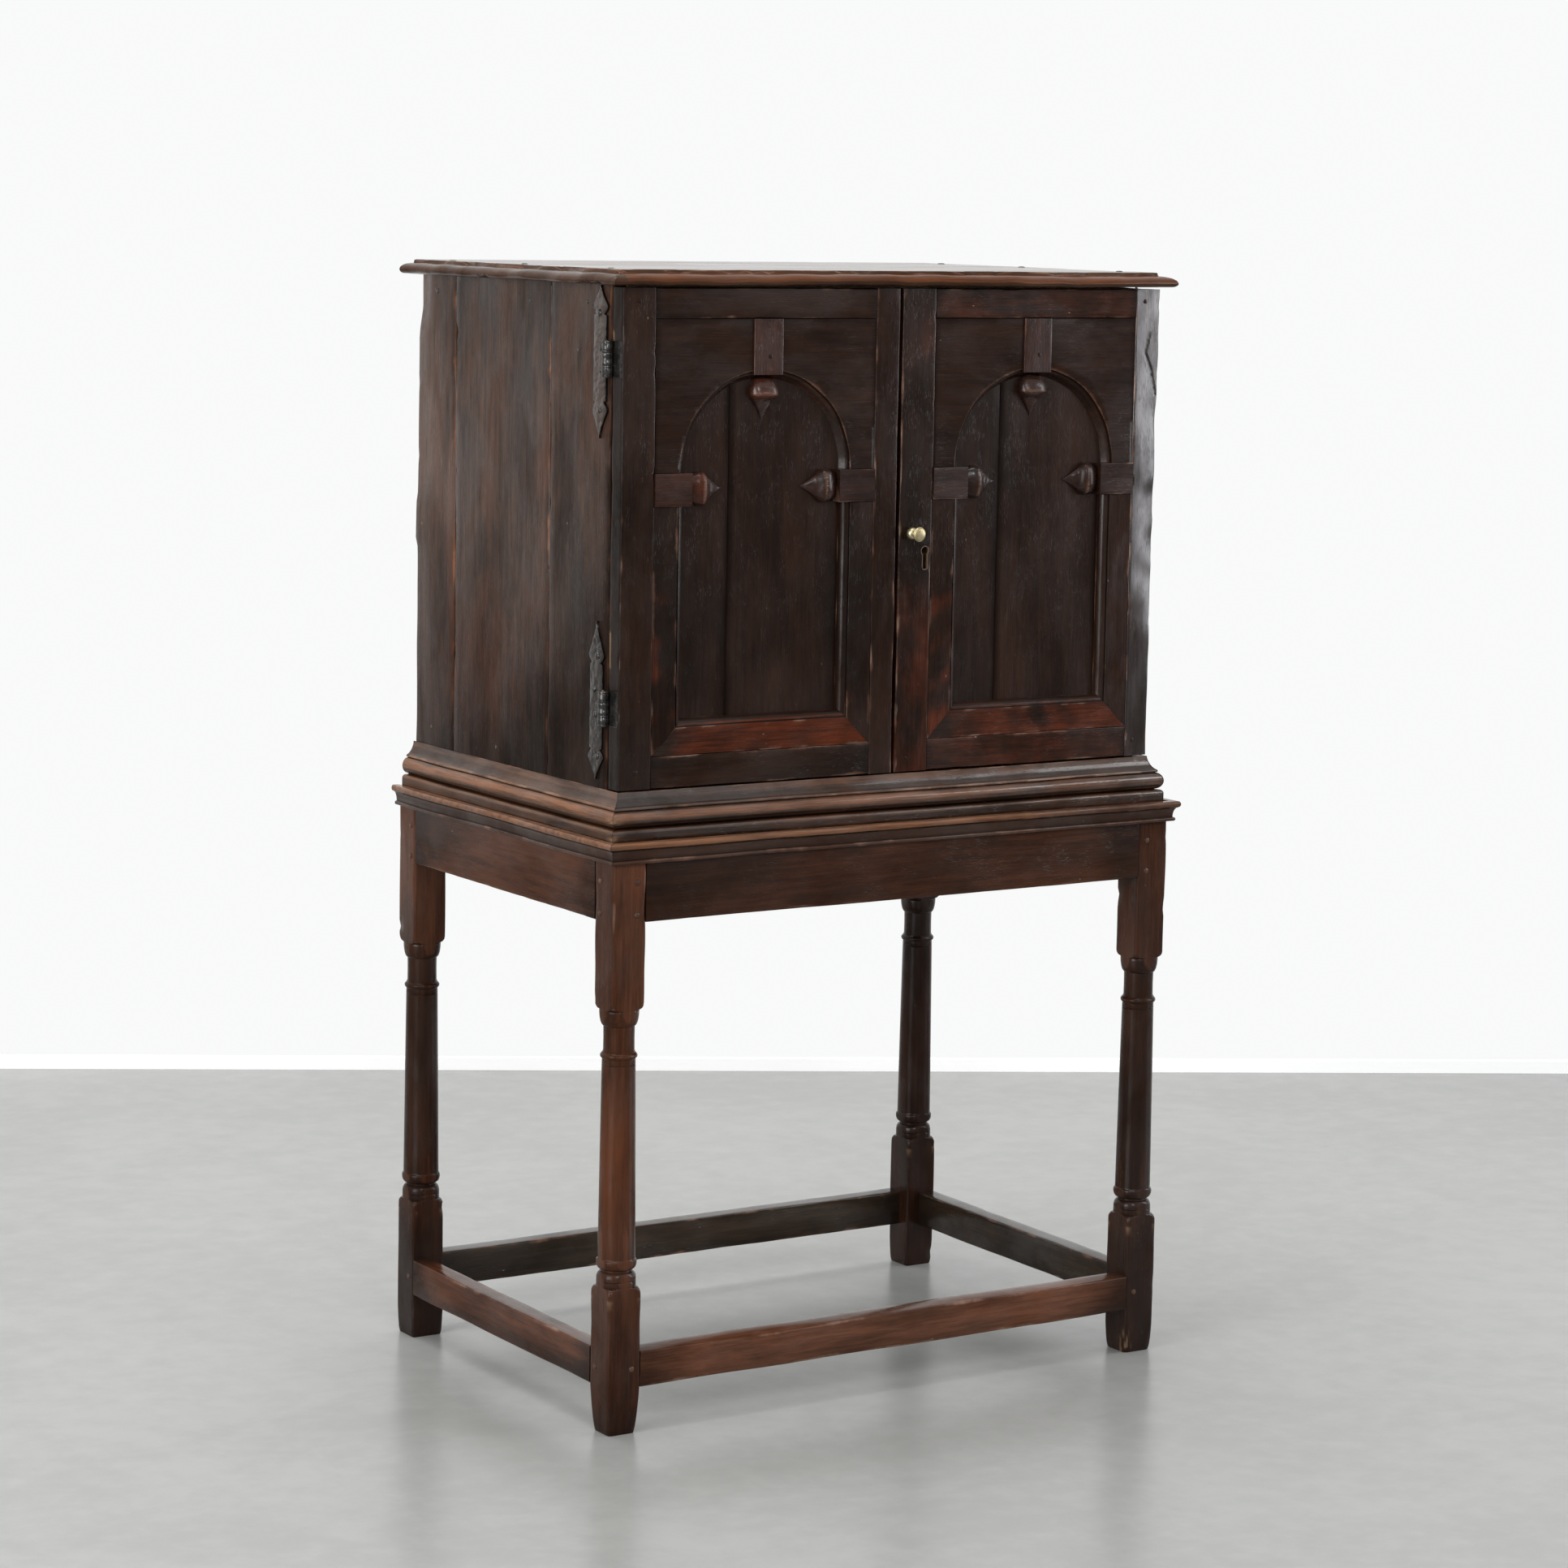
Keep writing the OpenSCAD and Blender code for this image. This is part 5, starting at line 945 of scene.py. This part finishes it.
def arch_board(shape, left, right, seed):
    """Spandrel board: rays run from the rectangle to the arch, and each ray's section goes along the face,
    over the small step, down the sloping band and back behind, so the whole is one ring of sections."""
    middle, top, soft = (left + right) / 2, 1.3908, 0.0006
    face, back = DOOR_FRONT + 0.0008, DOOR_FRONT + RECESS
    corner = math.atan2(top - ARCH_Z, right - middle)
    turns = (0, corner, np.pi - corner, np.pi)
    angle = np.concatenate([[0.0]] + [spread(a, b, 0.05)[1:] for a, b in zip(turns[:-1], turns[1:])])
    cos, sin = np.cos(angle), np.sin(angle)
    reach = np.minimum((right - middle) / np.maximum(np.abs(cos), 1e-9),
                       (top - ARCH_Z) / np.maximum(sin, 1e-9))
    section = [(reach, 0.0014), (reach - 0.0004, 0.0004)]
    section += [(reach - 0.0009 + (ARCH_R + soft - reach + 0.0009) * s, 0) for s in np.linspace(0, 1, 9)]
    section += [(ARCH_R - r + 0 * reach, y) for r, y in (
        (0, soft), (0.0001, 0.0028), (0.0004, 0.0031), (0.0026, 0.0032), (0.0034, 0.0037), (0.0058, 0.0072),
        (0.0092, 0.0125), (0.0100, back - face))]
    section.append((reach, back - face))
    radii, depth = np.array([r for r, _ in section]).T, face + np.array([y for _, y in section])
    wander = 0.0007 * wobble(np.stack([cos, sin, 0 * cos], -1) * ARCH_R, seed, 0.08)[:, None]
    carved = (np.arange(len(depth)) > 10) & (np.arange(len(depth)) < len(depth) - 1)
    radii = radii + wander * carved
    points = np.stack([(middle + radii * cos[:, None]).clip(left + 0.0002, right - 0.0002), depth + 0 * radii,
                       (ARCH_Z + radii * sin[:, None]).clip(ARCH_Z, top)], -1)
    # Lighter on the arch's arris and at the top of its band: rubbed, and a painted highlight. Darker at the
    # outer edge where the board meets the frame, in the small step and where the band meets the panel:
    # painted shade in these joints and recesses.
    wear, grime = np.zeros((2, len(depth)))
    wear[10:12], wear[14:16] = 0.9, 0.7
    grime[12:14], grime[18], grime[0:2], grime[2] = 0.9, 0.7, 1.0, 0.7
    near = np.exp(-(radii - ARCH_R).clip(0, None) / 0.035)
    shape.add(points, wear=wear[None], grime=grime[None], red=0.12 + 0.25 * near * (cos[:, None] > 0),
              tone=seed * 0.37 % 1)


def trim_profile():
    """Panel moulding: a flat, a fine groove and a curved lip down to the panel. Distance in and depth."""
    flat, lip, back = 0.035, 0.010, 0.0008
    return fill(np.concatenate([
        [[0.0002, RECESS], [0.0002, back + 0.0005], [0.0006, back]],
        [[flat - 0.0006, back], [flat, back + 0.0006], [flat, back + 0.002], [flat + 0.0014, back + 0.0022]],
        arc_points((flat + 0.0016, back + 0.0012), (flat + lip - 0.0004, RECESS - 0.002), 8, False),
        [[flat + lip, RECESS], [0.0002, RECESS]],
    ]), 0.005)[:-1]


def drop(shape, start, along, width, length, seed, warm):
    """A carved drop on the panel. Along its length the thickness climbs to a crest, falls steeply and thins
    to the point, while the width swells to the crest and then narrows in an ogee. Across, it is half a
    squared ellipse."""
    t = [np.linspace(0, 0.30, 9), np.linspace(0.33, 0.62, 13), np.linspace(0.66, 1, 12)]
    t = np.concatenate(t)[:, None]
    rise = 0.52 + 0.48 * np.sin(np.pi / 2 * (t / 0.33).clip(0, 1))
    fall = 1 - 0.50 * smooth(t, 0.38, 0.60) - 0.42 * smooth(t, 0.52, 1.0)
    thick = 0.0165 * rise * fall
    tail = ((t - 0.40) / 0.60).clip(0, 1)
    wide = width / 2 * (0.72 + 0.28 * np.sin(np.pi / 2 * (t / 0.30).clip(0, 1)))
    wide = np.maximum(wide * ((1 - tail) ** 1.35 * 0.93 + 0.07 * (1 - tail ** 4)), 0.0008)
    phi = np.linspace(0, np.pi, 25)
    across = np.sign(np.cos(phi)) * np.abs(np.cos(phi)) ** 0.75
    forward = np.abs(np.sin(phi)) ** 0.62
    along, out = np.asarray(along, float), np.array([0, -1.0, 0])
    side = np.cross(along, -out)
    points = (np.asarray(start, float) + (t * length)[..., None] * along
              + (wide * across)[..., None] * side + (thick * forward)[..., None] * out)
    points += (0.00035 * wobble(points, seed, 0.012))[..., None] * out
    # Painted light on the carving: the crest is lightened as rubbed and as a painted highlight, the edge
    # where it meets the panel is darkened as painted shade, and the thick end is warmed with red that is
    # partly the wood's and partly painted light.
    crest = np.exp(-((t - 0.36) / 0.10) ** 2)
    rim = np.exp(-np.minimum(phi, np.pi - phi) / 0.25)
    shape.add(points, wear=(0.75 * crest + 0.2) * (1 - rim), grime=rim * 0.9,
              red=0.15 + warm * (1 - smooth(t, 0.42, 0.6)), tone=seed * 0.37 % 1)


def door_back_dry(points):
    """1 on a door's back face."""
    return 1.0 * (points[..., 1] > DOOR_BACK - 0.0007)


def old_split(points):
    """1 in the old split of the right stile: it bends, then runs down and out through the arris."""
    bends = ((0.3948, 1.3712), (0.3885, 1.3524), (0.3863, 1.3456), (0.3982, 1.3209), (0.4065, 1.2900))
    far = np.full(points.shape[:-1], 1.0)
    for (x_a, z_a), (x_b, z_b) in zip(bends[:-1], bends[1:]):
        run = np.array([x_b - x_a, z_b - z_a])
        off = points[..., [0, 2]] - (x_a, z_a)
        share = ((off @ run) / (run @ run)).clip(0, 1)[..., None]
        far = np.minimum(far, np.linalg.norm(off - share * run, axis=-1))
    return np.exp(-(far / 0.0011) ** 2)


def hinge_stile(hand, side, low, high, hinge_in, seed):
    """The stile that carries the hinges, with a worn outer arris."""
    outer = side * HALF_CASE

    def red(points):
        """Redder low down beside the moulding."""
        return (0.05 + 0.3 * fade(points[..., 2], 0.95, 1.10)) * band(points[..., 0], hinge_in, 0, 0.025)

    def grime(points):
        """Painted shade on the side faces near the back, where the stile meets the case, and on the left
        stile's outer edge; on the right, dark in the split.
        """
        x, y, _ = split_axes(points)
        gap = smooth(y, DOOR_BACK - 0.003, DOOR_BACK - 0.0015) * (y < DOOR_BACK - 0.0004)
        if side < 0:
            return np.maximum(0.85 * band(x, outer, 0.0004, 0.0012), gap)
        return np.maximum(gap, 1.1 * old_split(points) * (y < DOOR_FRONT + 0.006))

    def rounded(points):
        """The face falls away towards the outer arris, more on the right door, where the arris also
        stands out a little, and is dented here and there."""
        x, y, z = split_axes(points)
        wide = 0.037 if side > 0 else 0.026
        near = ((wide - np.abs(x - outer)) / wide).clip(0, 1)
        front = smooth(-y, 0.246, 0.2545)
        dent = 1 + 0.3 * wobble(points, seed + 7, 0.06)
        fall = 0.0007 * near ** 2
        if side > 0:
            fall = 0.0042 * (0.45 * near + 0.55 * near ** 2) * (0.3 + 0.7 * smooth(z, 0.93, 1.12))
            stands_out = 0.0032 * smooth(z, 0.95, 1.15) + 0.0016 * smooth(z, 1.26, 1.33)
            x += front * smooth(near, 0.5, 1.0) * stands_out
            y += 0.0012 * old_split(points) * front
        y += front * dent * fall
        return points

    board(f"{hand}_door_hinge_stile", low, high, "case_z" if side < 0 else "sheen_z", "case_oak",
          hand + "_door", seed=seed, arris=0.0016, wave=0.0003, nicks=1.5, worn=0.8 if side < 0 else 1.1,
          grime=grime, red=red, dry=door_back_dry, drift=rounded, step=0.0055 if side < 0 else 0.0019)


def door(hand, side):
    """One door: frame, panel, spandrel board, mouldings and carved blocks."""
    body, node = hand + "_door", hand + "_door_"
    hinge_w, meeting_w = (0.046, 0.035) if side < 0 else (0.0365, 0.050)
    outer, inner = side * HALF_CASE, side * 0.0025
    hinge_in, meeting_in = outer - side * hinge_w, inner + side * meeting_w
    left, right = sorted((hinge_in, meeting_in))
    middle = (left + right) / 2
    z0, z1 = DOOR_Z, DOOR_Z + DOOR_H
    seed = 101 if side < 0 else 151
    warm = 0.0 if side < 0 else 0.75

    low, high = sorted((outer, hinge_in))
    hinge_stile(hand, side, (low, DOOR_FRONT, z0), (high, DOOR_BACK, z1), hinge_in, seed)

    def meeting_red(points):
        """Redder low down and near the head on the right door, in patches."""
        z = points[..., 2]
        return 0.10 + (0.66 * warm * fade(z, 0.93, 1.16) + 0.45 * warm * band(z, 1.35, 0.01, 0.09)
                       + 0.10 * wobble(points, seed, 0.12)).clip(0, 1)

    low, high = sorted((inner, meeting_in))
    board(node + "meeting_stile", (low, DOOR_FRONT, z0), (high, DOOR_BACK, z1), "case_z",
          "case_oak" if side < 0 else "red_oak", body, seed=seed + 3, arris=0.0016, wave=0.0003, nicks=1.5,
          grime=0.2, step=0.011 if side < 0 else 0.0045, keyhole=side > 0, red=meeting_red, dry=door_back_dry)
    for part, low_z, high_z, red in (("top_rail", HIGH_RAIL, z1, 0.12 + 0.42 * warm),
                                     ("bottom_rail", z0, LOW_RAIL, 0.15 + 0.40 * warm)):
        slot = "red_oak" if side > 0 and part == "bottom_rail" else "case_oak"
        board(node + part, (left, DOOR_FRONT + 0.0002, low_z), (right, DOOR_BACK, high_z), "case_x",
              slot, body, seed=seed + 5 + len(part), arris=0.0012, wave=0.0003, grime=0.9, red=red,
              dry=door_back_dry)

    joint, y0, y1 = middle - 0.047, DOOR_FRONT + RECESS, DOOR_FRONT + RECESS + 0.008
    shape = Shape()
    for k, (low, high) in enumerate(((left - 0.0030, joint - 0.0001), (joint + 0.0001, right + 0.0088))):
        bar(shape, (low, y0, 0.8432), (high, y1, 1.3998), "z", seed=seed + 20 + k, arris=0.0004, wave=0.0003,
            worn=0.3, grime=lambda p: (1.6 * np.exp(-np.abs(p[..., 0] - joint) / 0.0012)).clip(0, 1),
            red=lambda p: 0.05 + 0.12 * band(p[..., 0], middle - 0.01, 0, 0.05) * fade(p[..., 2], 1.05, 1.19),
            dry=lambda p: 1.0 * (p[..., 1] > y1 - 0.002))
    shape.build(node + "panel", "panel_z", "panel_oak", body)
    shape = Shape()
    arch_board(shape, left, right, seed + 30)
    shape.build(node + "arch_board", "panel_x", "panel_oak", body, sharp=40)

    def at_front(points):
        """1 on the face of a moulding, which is flush with the frame."""
        return fade(points[..., 1], DOOR_FRONT + 0.002, DOOR_FRONT + 0.004)

    def level_red(points):
        """Red, but not at the left end, and more so on the left door."""
        along = (0.55 - 0.1 * warm) * smooth(points[..., 0], left, left + 0.06)
        return (along + 0.10 + 0.12 * wobble(points, seed + 9, 0.05)) * at_front(points)

    profile, look = trim_profile(), dict(up=(0, 1, 0), wave=0.0002)
    upright, level = Shape(), Shape()
    for k, (start, out, most) in enumerate(((left, 1, 0.42), (right, -1, 0.2))):
        def upright_red(points, most=most):
            """Redder low down, in patches."""
            low_down = most * fade(points[..., 2], 1.0, 1.15)
            return low_down * (1 + 0.6 * wobble(points, seed + 8, 0.06)) * at_front(points)

        run_moulding(upright, profile, (start, DOOR_FRONT, LOW_RAIL), (0, 0, 1), (out, 0, 0),
                     TRIM_TOP - LOW_RAIL, (-1, 0), seed=seed + 40 + k, tone=0.2 + 0.3 * k,
                     red=upright_red, **look)
    run_moulding(level, profile, (left, DOOR_FRONT, LOW_RAIL), (1, 0, 0), (0, 0, 1), right - left, (-1, -1),
                 seed=seed + 42, tone=0.7, red=level_red, **look)
    upright.build(node + "mouldings", "case_z", "red_oak", body, node + "upright_mouldings_worn", 35)
    level.build(node + "mouldings", "case_x", "red_oak", body, node + "level_moulding_worn", 35)

    face, back = DOOR_FRONT - 0.0025, DOOR_FRONT + RECESS
    key, blocks, dots = Shape(), Shape(), Shape()
    look = dict(arris=0.0011, step=0.004, wave=0.0002, grime=0.2)
    bar(key, (middle - 0.0212, face, 1.3213), (middle + 0.0212, DOOR_FRONT + 0.008, 1.3903), "z",
        seed=seed + 50, red=0.35, **look)
    key.build(node + "carved_blocks", "block_z", "red_oak", body, node + "key_block_worn", 60)
    for k, (low, high) in enumerate(((left + 0.0002, left + 0.053), (right - 0.053, right - 0.0002))):
        bar(blocks, (low, face, 1.1606), (high, back, 1.2016), "x", seed=seed + 51 + k, red=0.3, **look)
    drop(blocks, (middle, back, 1.3166), (0, 0, -1), 0.039, 0.052, seed + 55, 0.35 if side < 0 else 0.12)
    drop(blocks, (left + 0.0534, back, 1.181), (1, 0, 0), 0.042, 0.051, seed + 56, 0.35 if side < 0 else 0.1)
    drop(blocks, (right - 0.0534, back, 1.181), (-1, 0, 0), 0.042, 0.051, seed + 57, 0.1)
    blocks.build(node + "carved_blocks", "block_x", "red_oak", body, sharp=60)

    sunk = 0.0013 if side > 0 else 0.0
    spots = [(outer - side * 0.022, DOOR_FRONT + sunk, 1.412), (inner + side * 0.016, DOOR_FRONT, 1.409),
             (outer - side * 0.024, DOOR_FRONT + 0.3 * sunk, 0.833),
             (inner + side * 0.017, DOOR_FRONT, 0.829), (middle + 0.002, face, 1.344)]
    heads(dots, spots, "-y", 0.0028, 0.0005)
    dots.build(None, "case_x", "red_oak", body, node + "pegs")


# Iron and brass

def leaf_half(h, length):
    """Half width of a pointed leaf end at height h: a waist, a swelling and a long point."""
    waist, wide, swell = 0.0075, 0.0185, 0.012
    grow = waist + (wide - waist) * np.sin(np.pi / 2 * (h / swell).clip(0, 1))
    return np.where(h < swell, grow, wide * (1 - ((h - swell) / (length - swell)).clip(0, 1)) ** 1.3)


def plate_rings(shape, z, front, back, x_in, x_out, seed, hammered=0.0003, waxed=0.0):
    """A thin iron plate: at each height a flat section with rounded edges, as wide as the outline there."""
    z, s = z[:, None], np.linspace(-1, 1, 9)[None]
    y = (front + back) / 2 + (back - front) / 2 * s
    y, z = np.broadcast_arrays(y, z)
    face = np.stack([x_out - 0.15 * (x_out - x_in) * np.abs(s) ** 6 + 0 * y, y, z], -1)
    rear = np.stack([x_in + 0 * y, y, z], -1)[:, ::-1]
    face[..., 0] += hammered * wobble(face, seed, 0.012) * np.sign(x_out - x_in)
    # The face is darkened along its edges, a painted shadow where the plate stands off the wood, and so is
    # its hidden back; the face is rubbed towards its edges.
    rim = np.concatenate([np.abs(s) ** 6, np.ones_like(s)], 1)
    wear = np.concatenate([np.abs(s) ** 3 * (np.abs(s) < 0.9), np.zeros_like(s)], 1)
    shape.add(np.concatenate([face, rear], 1), wear=(1 - waxed) * wear, grime=rim, red=waxed)


def hinges():
    """Forged hinges: pointed side leaves on the case, knuckles with turned bands, pins, nails, and the
    leaves let into the doors' edges."""
    bands = np.array([[0.0030, 0], [0.0066, 0], [0.0070, 0.0006], [0.0070, 0.0020], [0.0063, 0.0026],
                      [0.0063, 0.0034], [0.0068, 0.0040]])
    outer_knuckle = np.concatenate([bands, [0, 0.0142] + bands[::-1] * [1, -1]])
    mid_end = np.array([[0.00308, -0.0075], [0.0067, -0.0075], [0.0070, -0.0070], [0.0070, -0.0030],
                        [0.0066, -0.0024]])
    mid_knuckle = np.concatenate([mid_end, mid_end[::-1] * [1, -1]])
    pin_end = np.array([[0.0003, 0], [0.0018, 0.0003], [0.0029, 0.0012], [0.0030, 0.0020]]) - [0, 0.0235]
    pin = np.concatenate([pin_end, pin_end[::-1] * [1, -1]])
    strap_h, strap_w, centre = 0.052, 0.0152, PIN_Y + 0.026
    for hand, side in HANDS:
        case_side, door_side, pins = Shape(), Shape(), Shape()
        face = side * HALF_CASE
        for mid, up, down in ((0.912, 0.054, 0.039), (1.341, 0.037, 0.046)):
            seed = 201 + int(mid * 10) + side
            at = (side * PIN_X, PIN_Y, mid)
            spine = np.concatenate([np.linspace(down, 0.0, 26), np.linspace(-strap_h, strap_h, 22)[1:-1],
                                    np.linspace(0.0, up, 26)])
            spine[:26] = -strap_h - spine[:26]
            spine[-26:] += strap_h
            past = (np.abs(spine) - strap_h).clip(0, None)
            half = np.where(past > 0, leaf_half(past, np.where(spine > 0, up, down)), strap_w)
            half = np.maximum(half, 0.0006)[:, None]
            plate_rings(case_side, mid + spine, centre - half, centre + half, face, face + side * LEAF, seed,
                        waxed=0.9 if mid > 1 and side < 0 else 0.2)
            bridge = np.linspace(-0.0205, 0.0205, 9)
            for part in (bridge[bridge < -0.0078], bridge[bridge > 0.0078]):
                plate_rings(case_side, mid + part, PIN_Y - 0.0015, PIN_Y + 0.0135, face, face + side * LEAF,
                            seed + 1)
            for flip in (1, -1):
                profile = (outer_knuckle - [0, 0.022]) * [1, flip]
                # The knuckle's outer bands are rubbed, and its narrow grooves are darkened: soiled, and
                # painted shade.
                lathe(case_side, profile, at, "z", 28, seed=seed + 2, wave=0.00012,
                      wear=np.where(profile[:, 0] > 0.0069, 0.7, 0.1),
                      grime=np.where(profile[:, 0] < 0.0064, 0.5, 0))
            lathe(door_side, mid_knuckle, at, "z", 28, seed=seed + 4, wave=0.00012,
                  wear=np.where(mid_knuckle[:, 0] > 0.0069, 0.7, 0.1))
            inner = face - side * 0.0022
            plate_rings(door_side, mid + np.linspace(-0.022, 0.022, 12), -0.2525 if side < 0 else -0.2463,
                        -0.2281, inner, face + side * 0.0008, seed + 5, 0.00015)
            plate_rings(door_side, mid + np.linspace(-0.0072, 0.0072, 5), -0.2360, -0.2240, inner,
                        face + side * 0.0009, seed + 6, 0.0001)
            lathe(pins, pin, at, "z", 20, seed=seed + 7, wave=0.0001, wear=0.5)
        nails = [(52, 1396), (48, 1353), (48, 1326), (51, 1277), (55, 933), (52, 902), (49, 975), (48, 850)]
        heads(case_side, [(face + side * LEAF, DOOR_FRONT + d / 1000, z / 1000) for d, z in nails],
              "x" if side > 0 else "-x", 0.0042, 0.0026)
        for shape, node, body, name in (
            (case_side, f"{hand}_hinge_plates", "root", f"{hand}_hinge_plates_forged"),
            (door_side, f"{hand}_door_hinge_leaves", hand + "_door", f"{hand}_door_hinge_leaves_forged"),
            (pins, "hinge_pins", "root", f"{hand}_hinge_pins_forged"),
        ):
            shape.build(node, "iron", "iron", body, name, sharp=40)


def knob():
    """Turned brass knob: foot, neck and domed face, with a fine ring near the edge of the face."""
    profile = np.concatenate([
        [[0.0002, 0.026], [0.0030, 0.026], [0.0030, 0.0], [0.0079, 0.0], [0.0080, -0.0009]],
        arc_points((0.0080, -0.001), (0.0042, -0.0068), 7, True)[1:],
        [[0.0040, -0.0085], [0.0040, -0.0128]],
        arc_points((0.0041, -0.0132), (0.0088, -0.0162), 6, False),
        arc_points((0.00935, -0.0168), (0.0088, -0.0178), 3, True),
        [[0.0082, -0.0180], [0.0080, -0.0184]],
        arc_points((0.0080, -0.0184), (0.0002, -0.0200), 8, True)[1:],
    ])
    shape = Shape()
    lathe(shape, profile, (0.022, DOOR_FRONT, 1.118), "y", 48, seed=7, wave=0.00005)
    shape.build("knob", "brass", "brass", "right_door", "knob_turned", sharp=50)


def small_nails():
    """Old nails at the ends of the top, along the side boards' ends and in the back."""
    shape = Shape()
    heads(shape, [(x, y, TOP_Z) for x, y in ((-0.392, 0.215), (-0.392, 0.02), (-0.388, -0.19), (0.38, -0.2),
                                             (0.386, 0.03), (0.384, 0.22))], "z", 0.0045, 0.0012)
    shape.build(None, "iron", "iron", name="top_nails")
    shape = Shape()
    for side, axis, first in ((-1, "-x", (-0.166, 1.408)), (1, "x", (-0.17, 1.404))):
        spots = (first, (-0.02, 1.405), (0.23, 1.41), (-0.19, 0.832), (0.06, 0.829), (0.24, 0.835))
        heads(shape, [(side * HALF_CASE, y, z) for y, z in spots], axis, 0.003, 0.0007)
    heads(shape, [(x, CASE_BACK, z) for x in (-0.36, -0.235, -0.16, -0.03, 0.04, 0.17, 0.235, 0.36)
                  for z in (1.41, 1.129, 0.808)], "y", 0.0035, 0.0009)
    shape.build(None, "iron", "iron", name="side_nails")


def hidden_parts():
    """The frame's own pieces that are right as they are: only their finish changes."""
    iron = ("lock_case", "lock_bolt", "bolt_keep", "door_bolt", "door_bolt_plate")
    kept = {"head_rail": "plain_x", "keyhole_liner": "liner_z", **dict.fromkeys(iron, "iron")}
    for node, finish in kept.items():
        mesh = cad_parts[node].data
        mesh.materials.clear()
        mesh.materials.append(FINISHES[finish])


# The studio

def lamp(name, place, target, size, power, colour=(1, 1, 1)):
    """A rectangular lamp that faces its target."""
    light = bpy.data.lights.new(name, "AREA")
    light.shape, light.size, light.size_y = "RECTANGLE", size[0], size[1]
    light.energy, light.color = power, colour
    ahead = np.asarray(target, float) - place
    ahead /= np.linalg.norm(ahead)
    right = np.cross(ahead, (0, 0, 1.0))
    right /= np.linalg.norm(right)
    aim(bpy.data.objects.new(name, light), right, np.cross(right, ahead), ahead, place)


def sheet(name, corners, material):
    """A flat piece of the set."""
    mesh = bpy.data.meshes.new(name)
    mesh.from_pydata([tuple(corner) for corner in corners], [], [list(range(len(corners)))])
    mesh.materials.append(material)
    obj = bpy.data.objects.new(name, mesh)
    bpy.context.scene.collection.objects.link(obj)


def studio():
    """A pale grey floor, a white wall behind that can't be seen from its back, and soft lamps. The world,
    the wall and the skirting are bright for the rays that see them, and dim for those that only light."""
    scene = bpy.context.scene
    scene.view_settings.view_transform = "Standard"
    world = bpy.data.worlds.new("world")
    scene.world = world
    f = Finish(world)
    soft = f.add("Background", inputs={"Color": (0.15, 0.153, 0.156)})
    white = f.add("Background", inputs={"Color": (0.93, 0.94, 0.94)})
    f.put(f.tree.nodes["World Output"],
          {"Surface": f.add("MixShader", inputs={0: f.seen_ray(), 1: soft, 2: white})})

    f = Finish(bpy.data.materials.new("pale_floor"))
    cloud = f.noise(f.place(), 2.6, 6, 0.68, 0.5) * 0.6 + f.noise(f.place(), 19, 4, 0.6) * 0.4
    grey = f.blend((0.294, 0.296, 0.284), (f.step(cloud, 0.36, 0.64), (0.330, 0.332, 0.319)))
    f.surface({"Base Color": grey, "Roughness": 0.26, "Specular IOR Level": 0.36})
    sheet("floor", [(-30, -30, 0), (30, -30, 0), (30, 30, 0), (-30, 30, 0)], f.owner)

    far, turn, width, behind = 7.36, 4.0, 14, 3.2
    middle = np.array([*EYE[:2], 0]) + far * level_view(YAW)[0]
    ahead, right = level_view(YAW - turn)
    ends, rise = np.array([middle - behind * right, middle + width * right]), np.array([0, 0, 9.0])
    f = Finish(bpy.data.materials.new("white_wall"))
    f.surface({"Base Color": (0.90, 0.91, 0.91), "Roughness": 0.9})
    glow = f.add("Emission", inputs={"Color": (0.945, 0.955, 0.95)})
    shader = Socket(f, f.tree.nodes["Principled BSDF"].outputs[0])
    lit = f.add("MixShader", inputs={0: f.seen_ray(), 1: shader, 2: glow})
    from_back = f.add("NewGeometry", output="Backfacing")
    f.put(f.tree.nodes["Material Output"],
          {"Surface": f.add("MixShader", inputs={0: from_back, 1: lit, 2: f.add("BsdfTransparent")})})
    sheet("wall", [*ends, *(ends + rise)[::-1]], f.owner)

    f = Finish(bpy.data.materials.new("white_skirting"))
    f.surface({"Base Color": (0.86, 0.865, 0.86), "Emission Color": (0.90, 0.91, 0.905),
               "Emission Strength": f.seen_ray() * 0.2})
    front, lift = ends - 0.015 * ahead, np.array([0, 0, 0.022])
    sheet("skirting_face", [*front, *(front + lift)[::-1]], f.owner)
    sheet("skirting_top", [*(front + lift), *(ends + lift)[::-1]], f.owner)

    lamp("lamp_above", (-0.4, 0.2, 4.4), (0, 0, 0.7), (2.6, 2.6), 150)
    lamp("lamp_left", (-4.4, -1.4, 1.8), (0, 0, 0.9), (2.2, 2.6), 150)
    lamp("lamp_right", (3.9, -2.5, 1.8), (0.3, -0.2, 1.0), (1.8, 2.4), 78, (0.97, 0.975, 1.03))
    lamp("lamp_high", (3.3, -3.1, 3.1), (0, 0, 0.8), (1.2, 1.2), 20)
    lamp("lamp_front", (-2.2, -5.2, 3.8), (0, 0, 0.9), (2.0, 1.8), 115)


camera()
finishes()
stand()
case()
joint, gap = 0.121, 0.0003
top_board("top_front_board", -0.272, joint - gap, True, 97)
top_board("top_rear_board", joint + gap, CASE_BACK, False, 98)
for hand, side in HANDS:
    door(hand, side)
hinges()
knob()
small_nails()
hidden_parts()
studio()
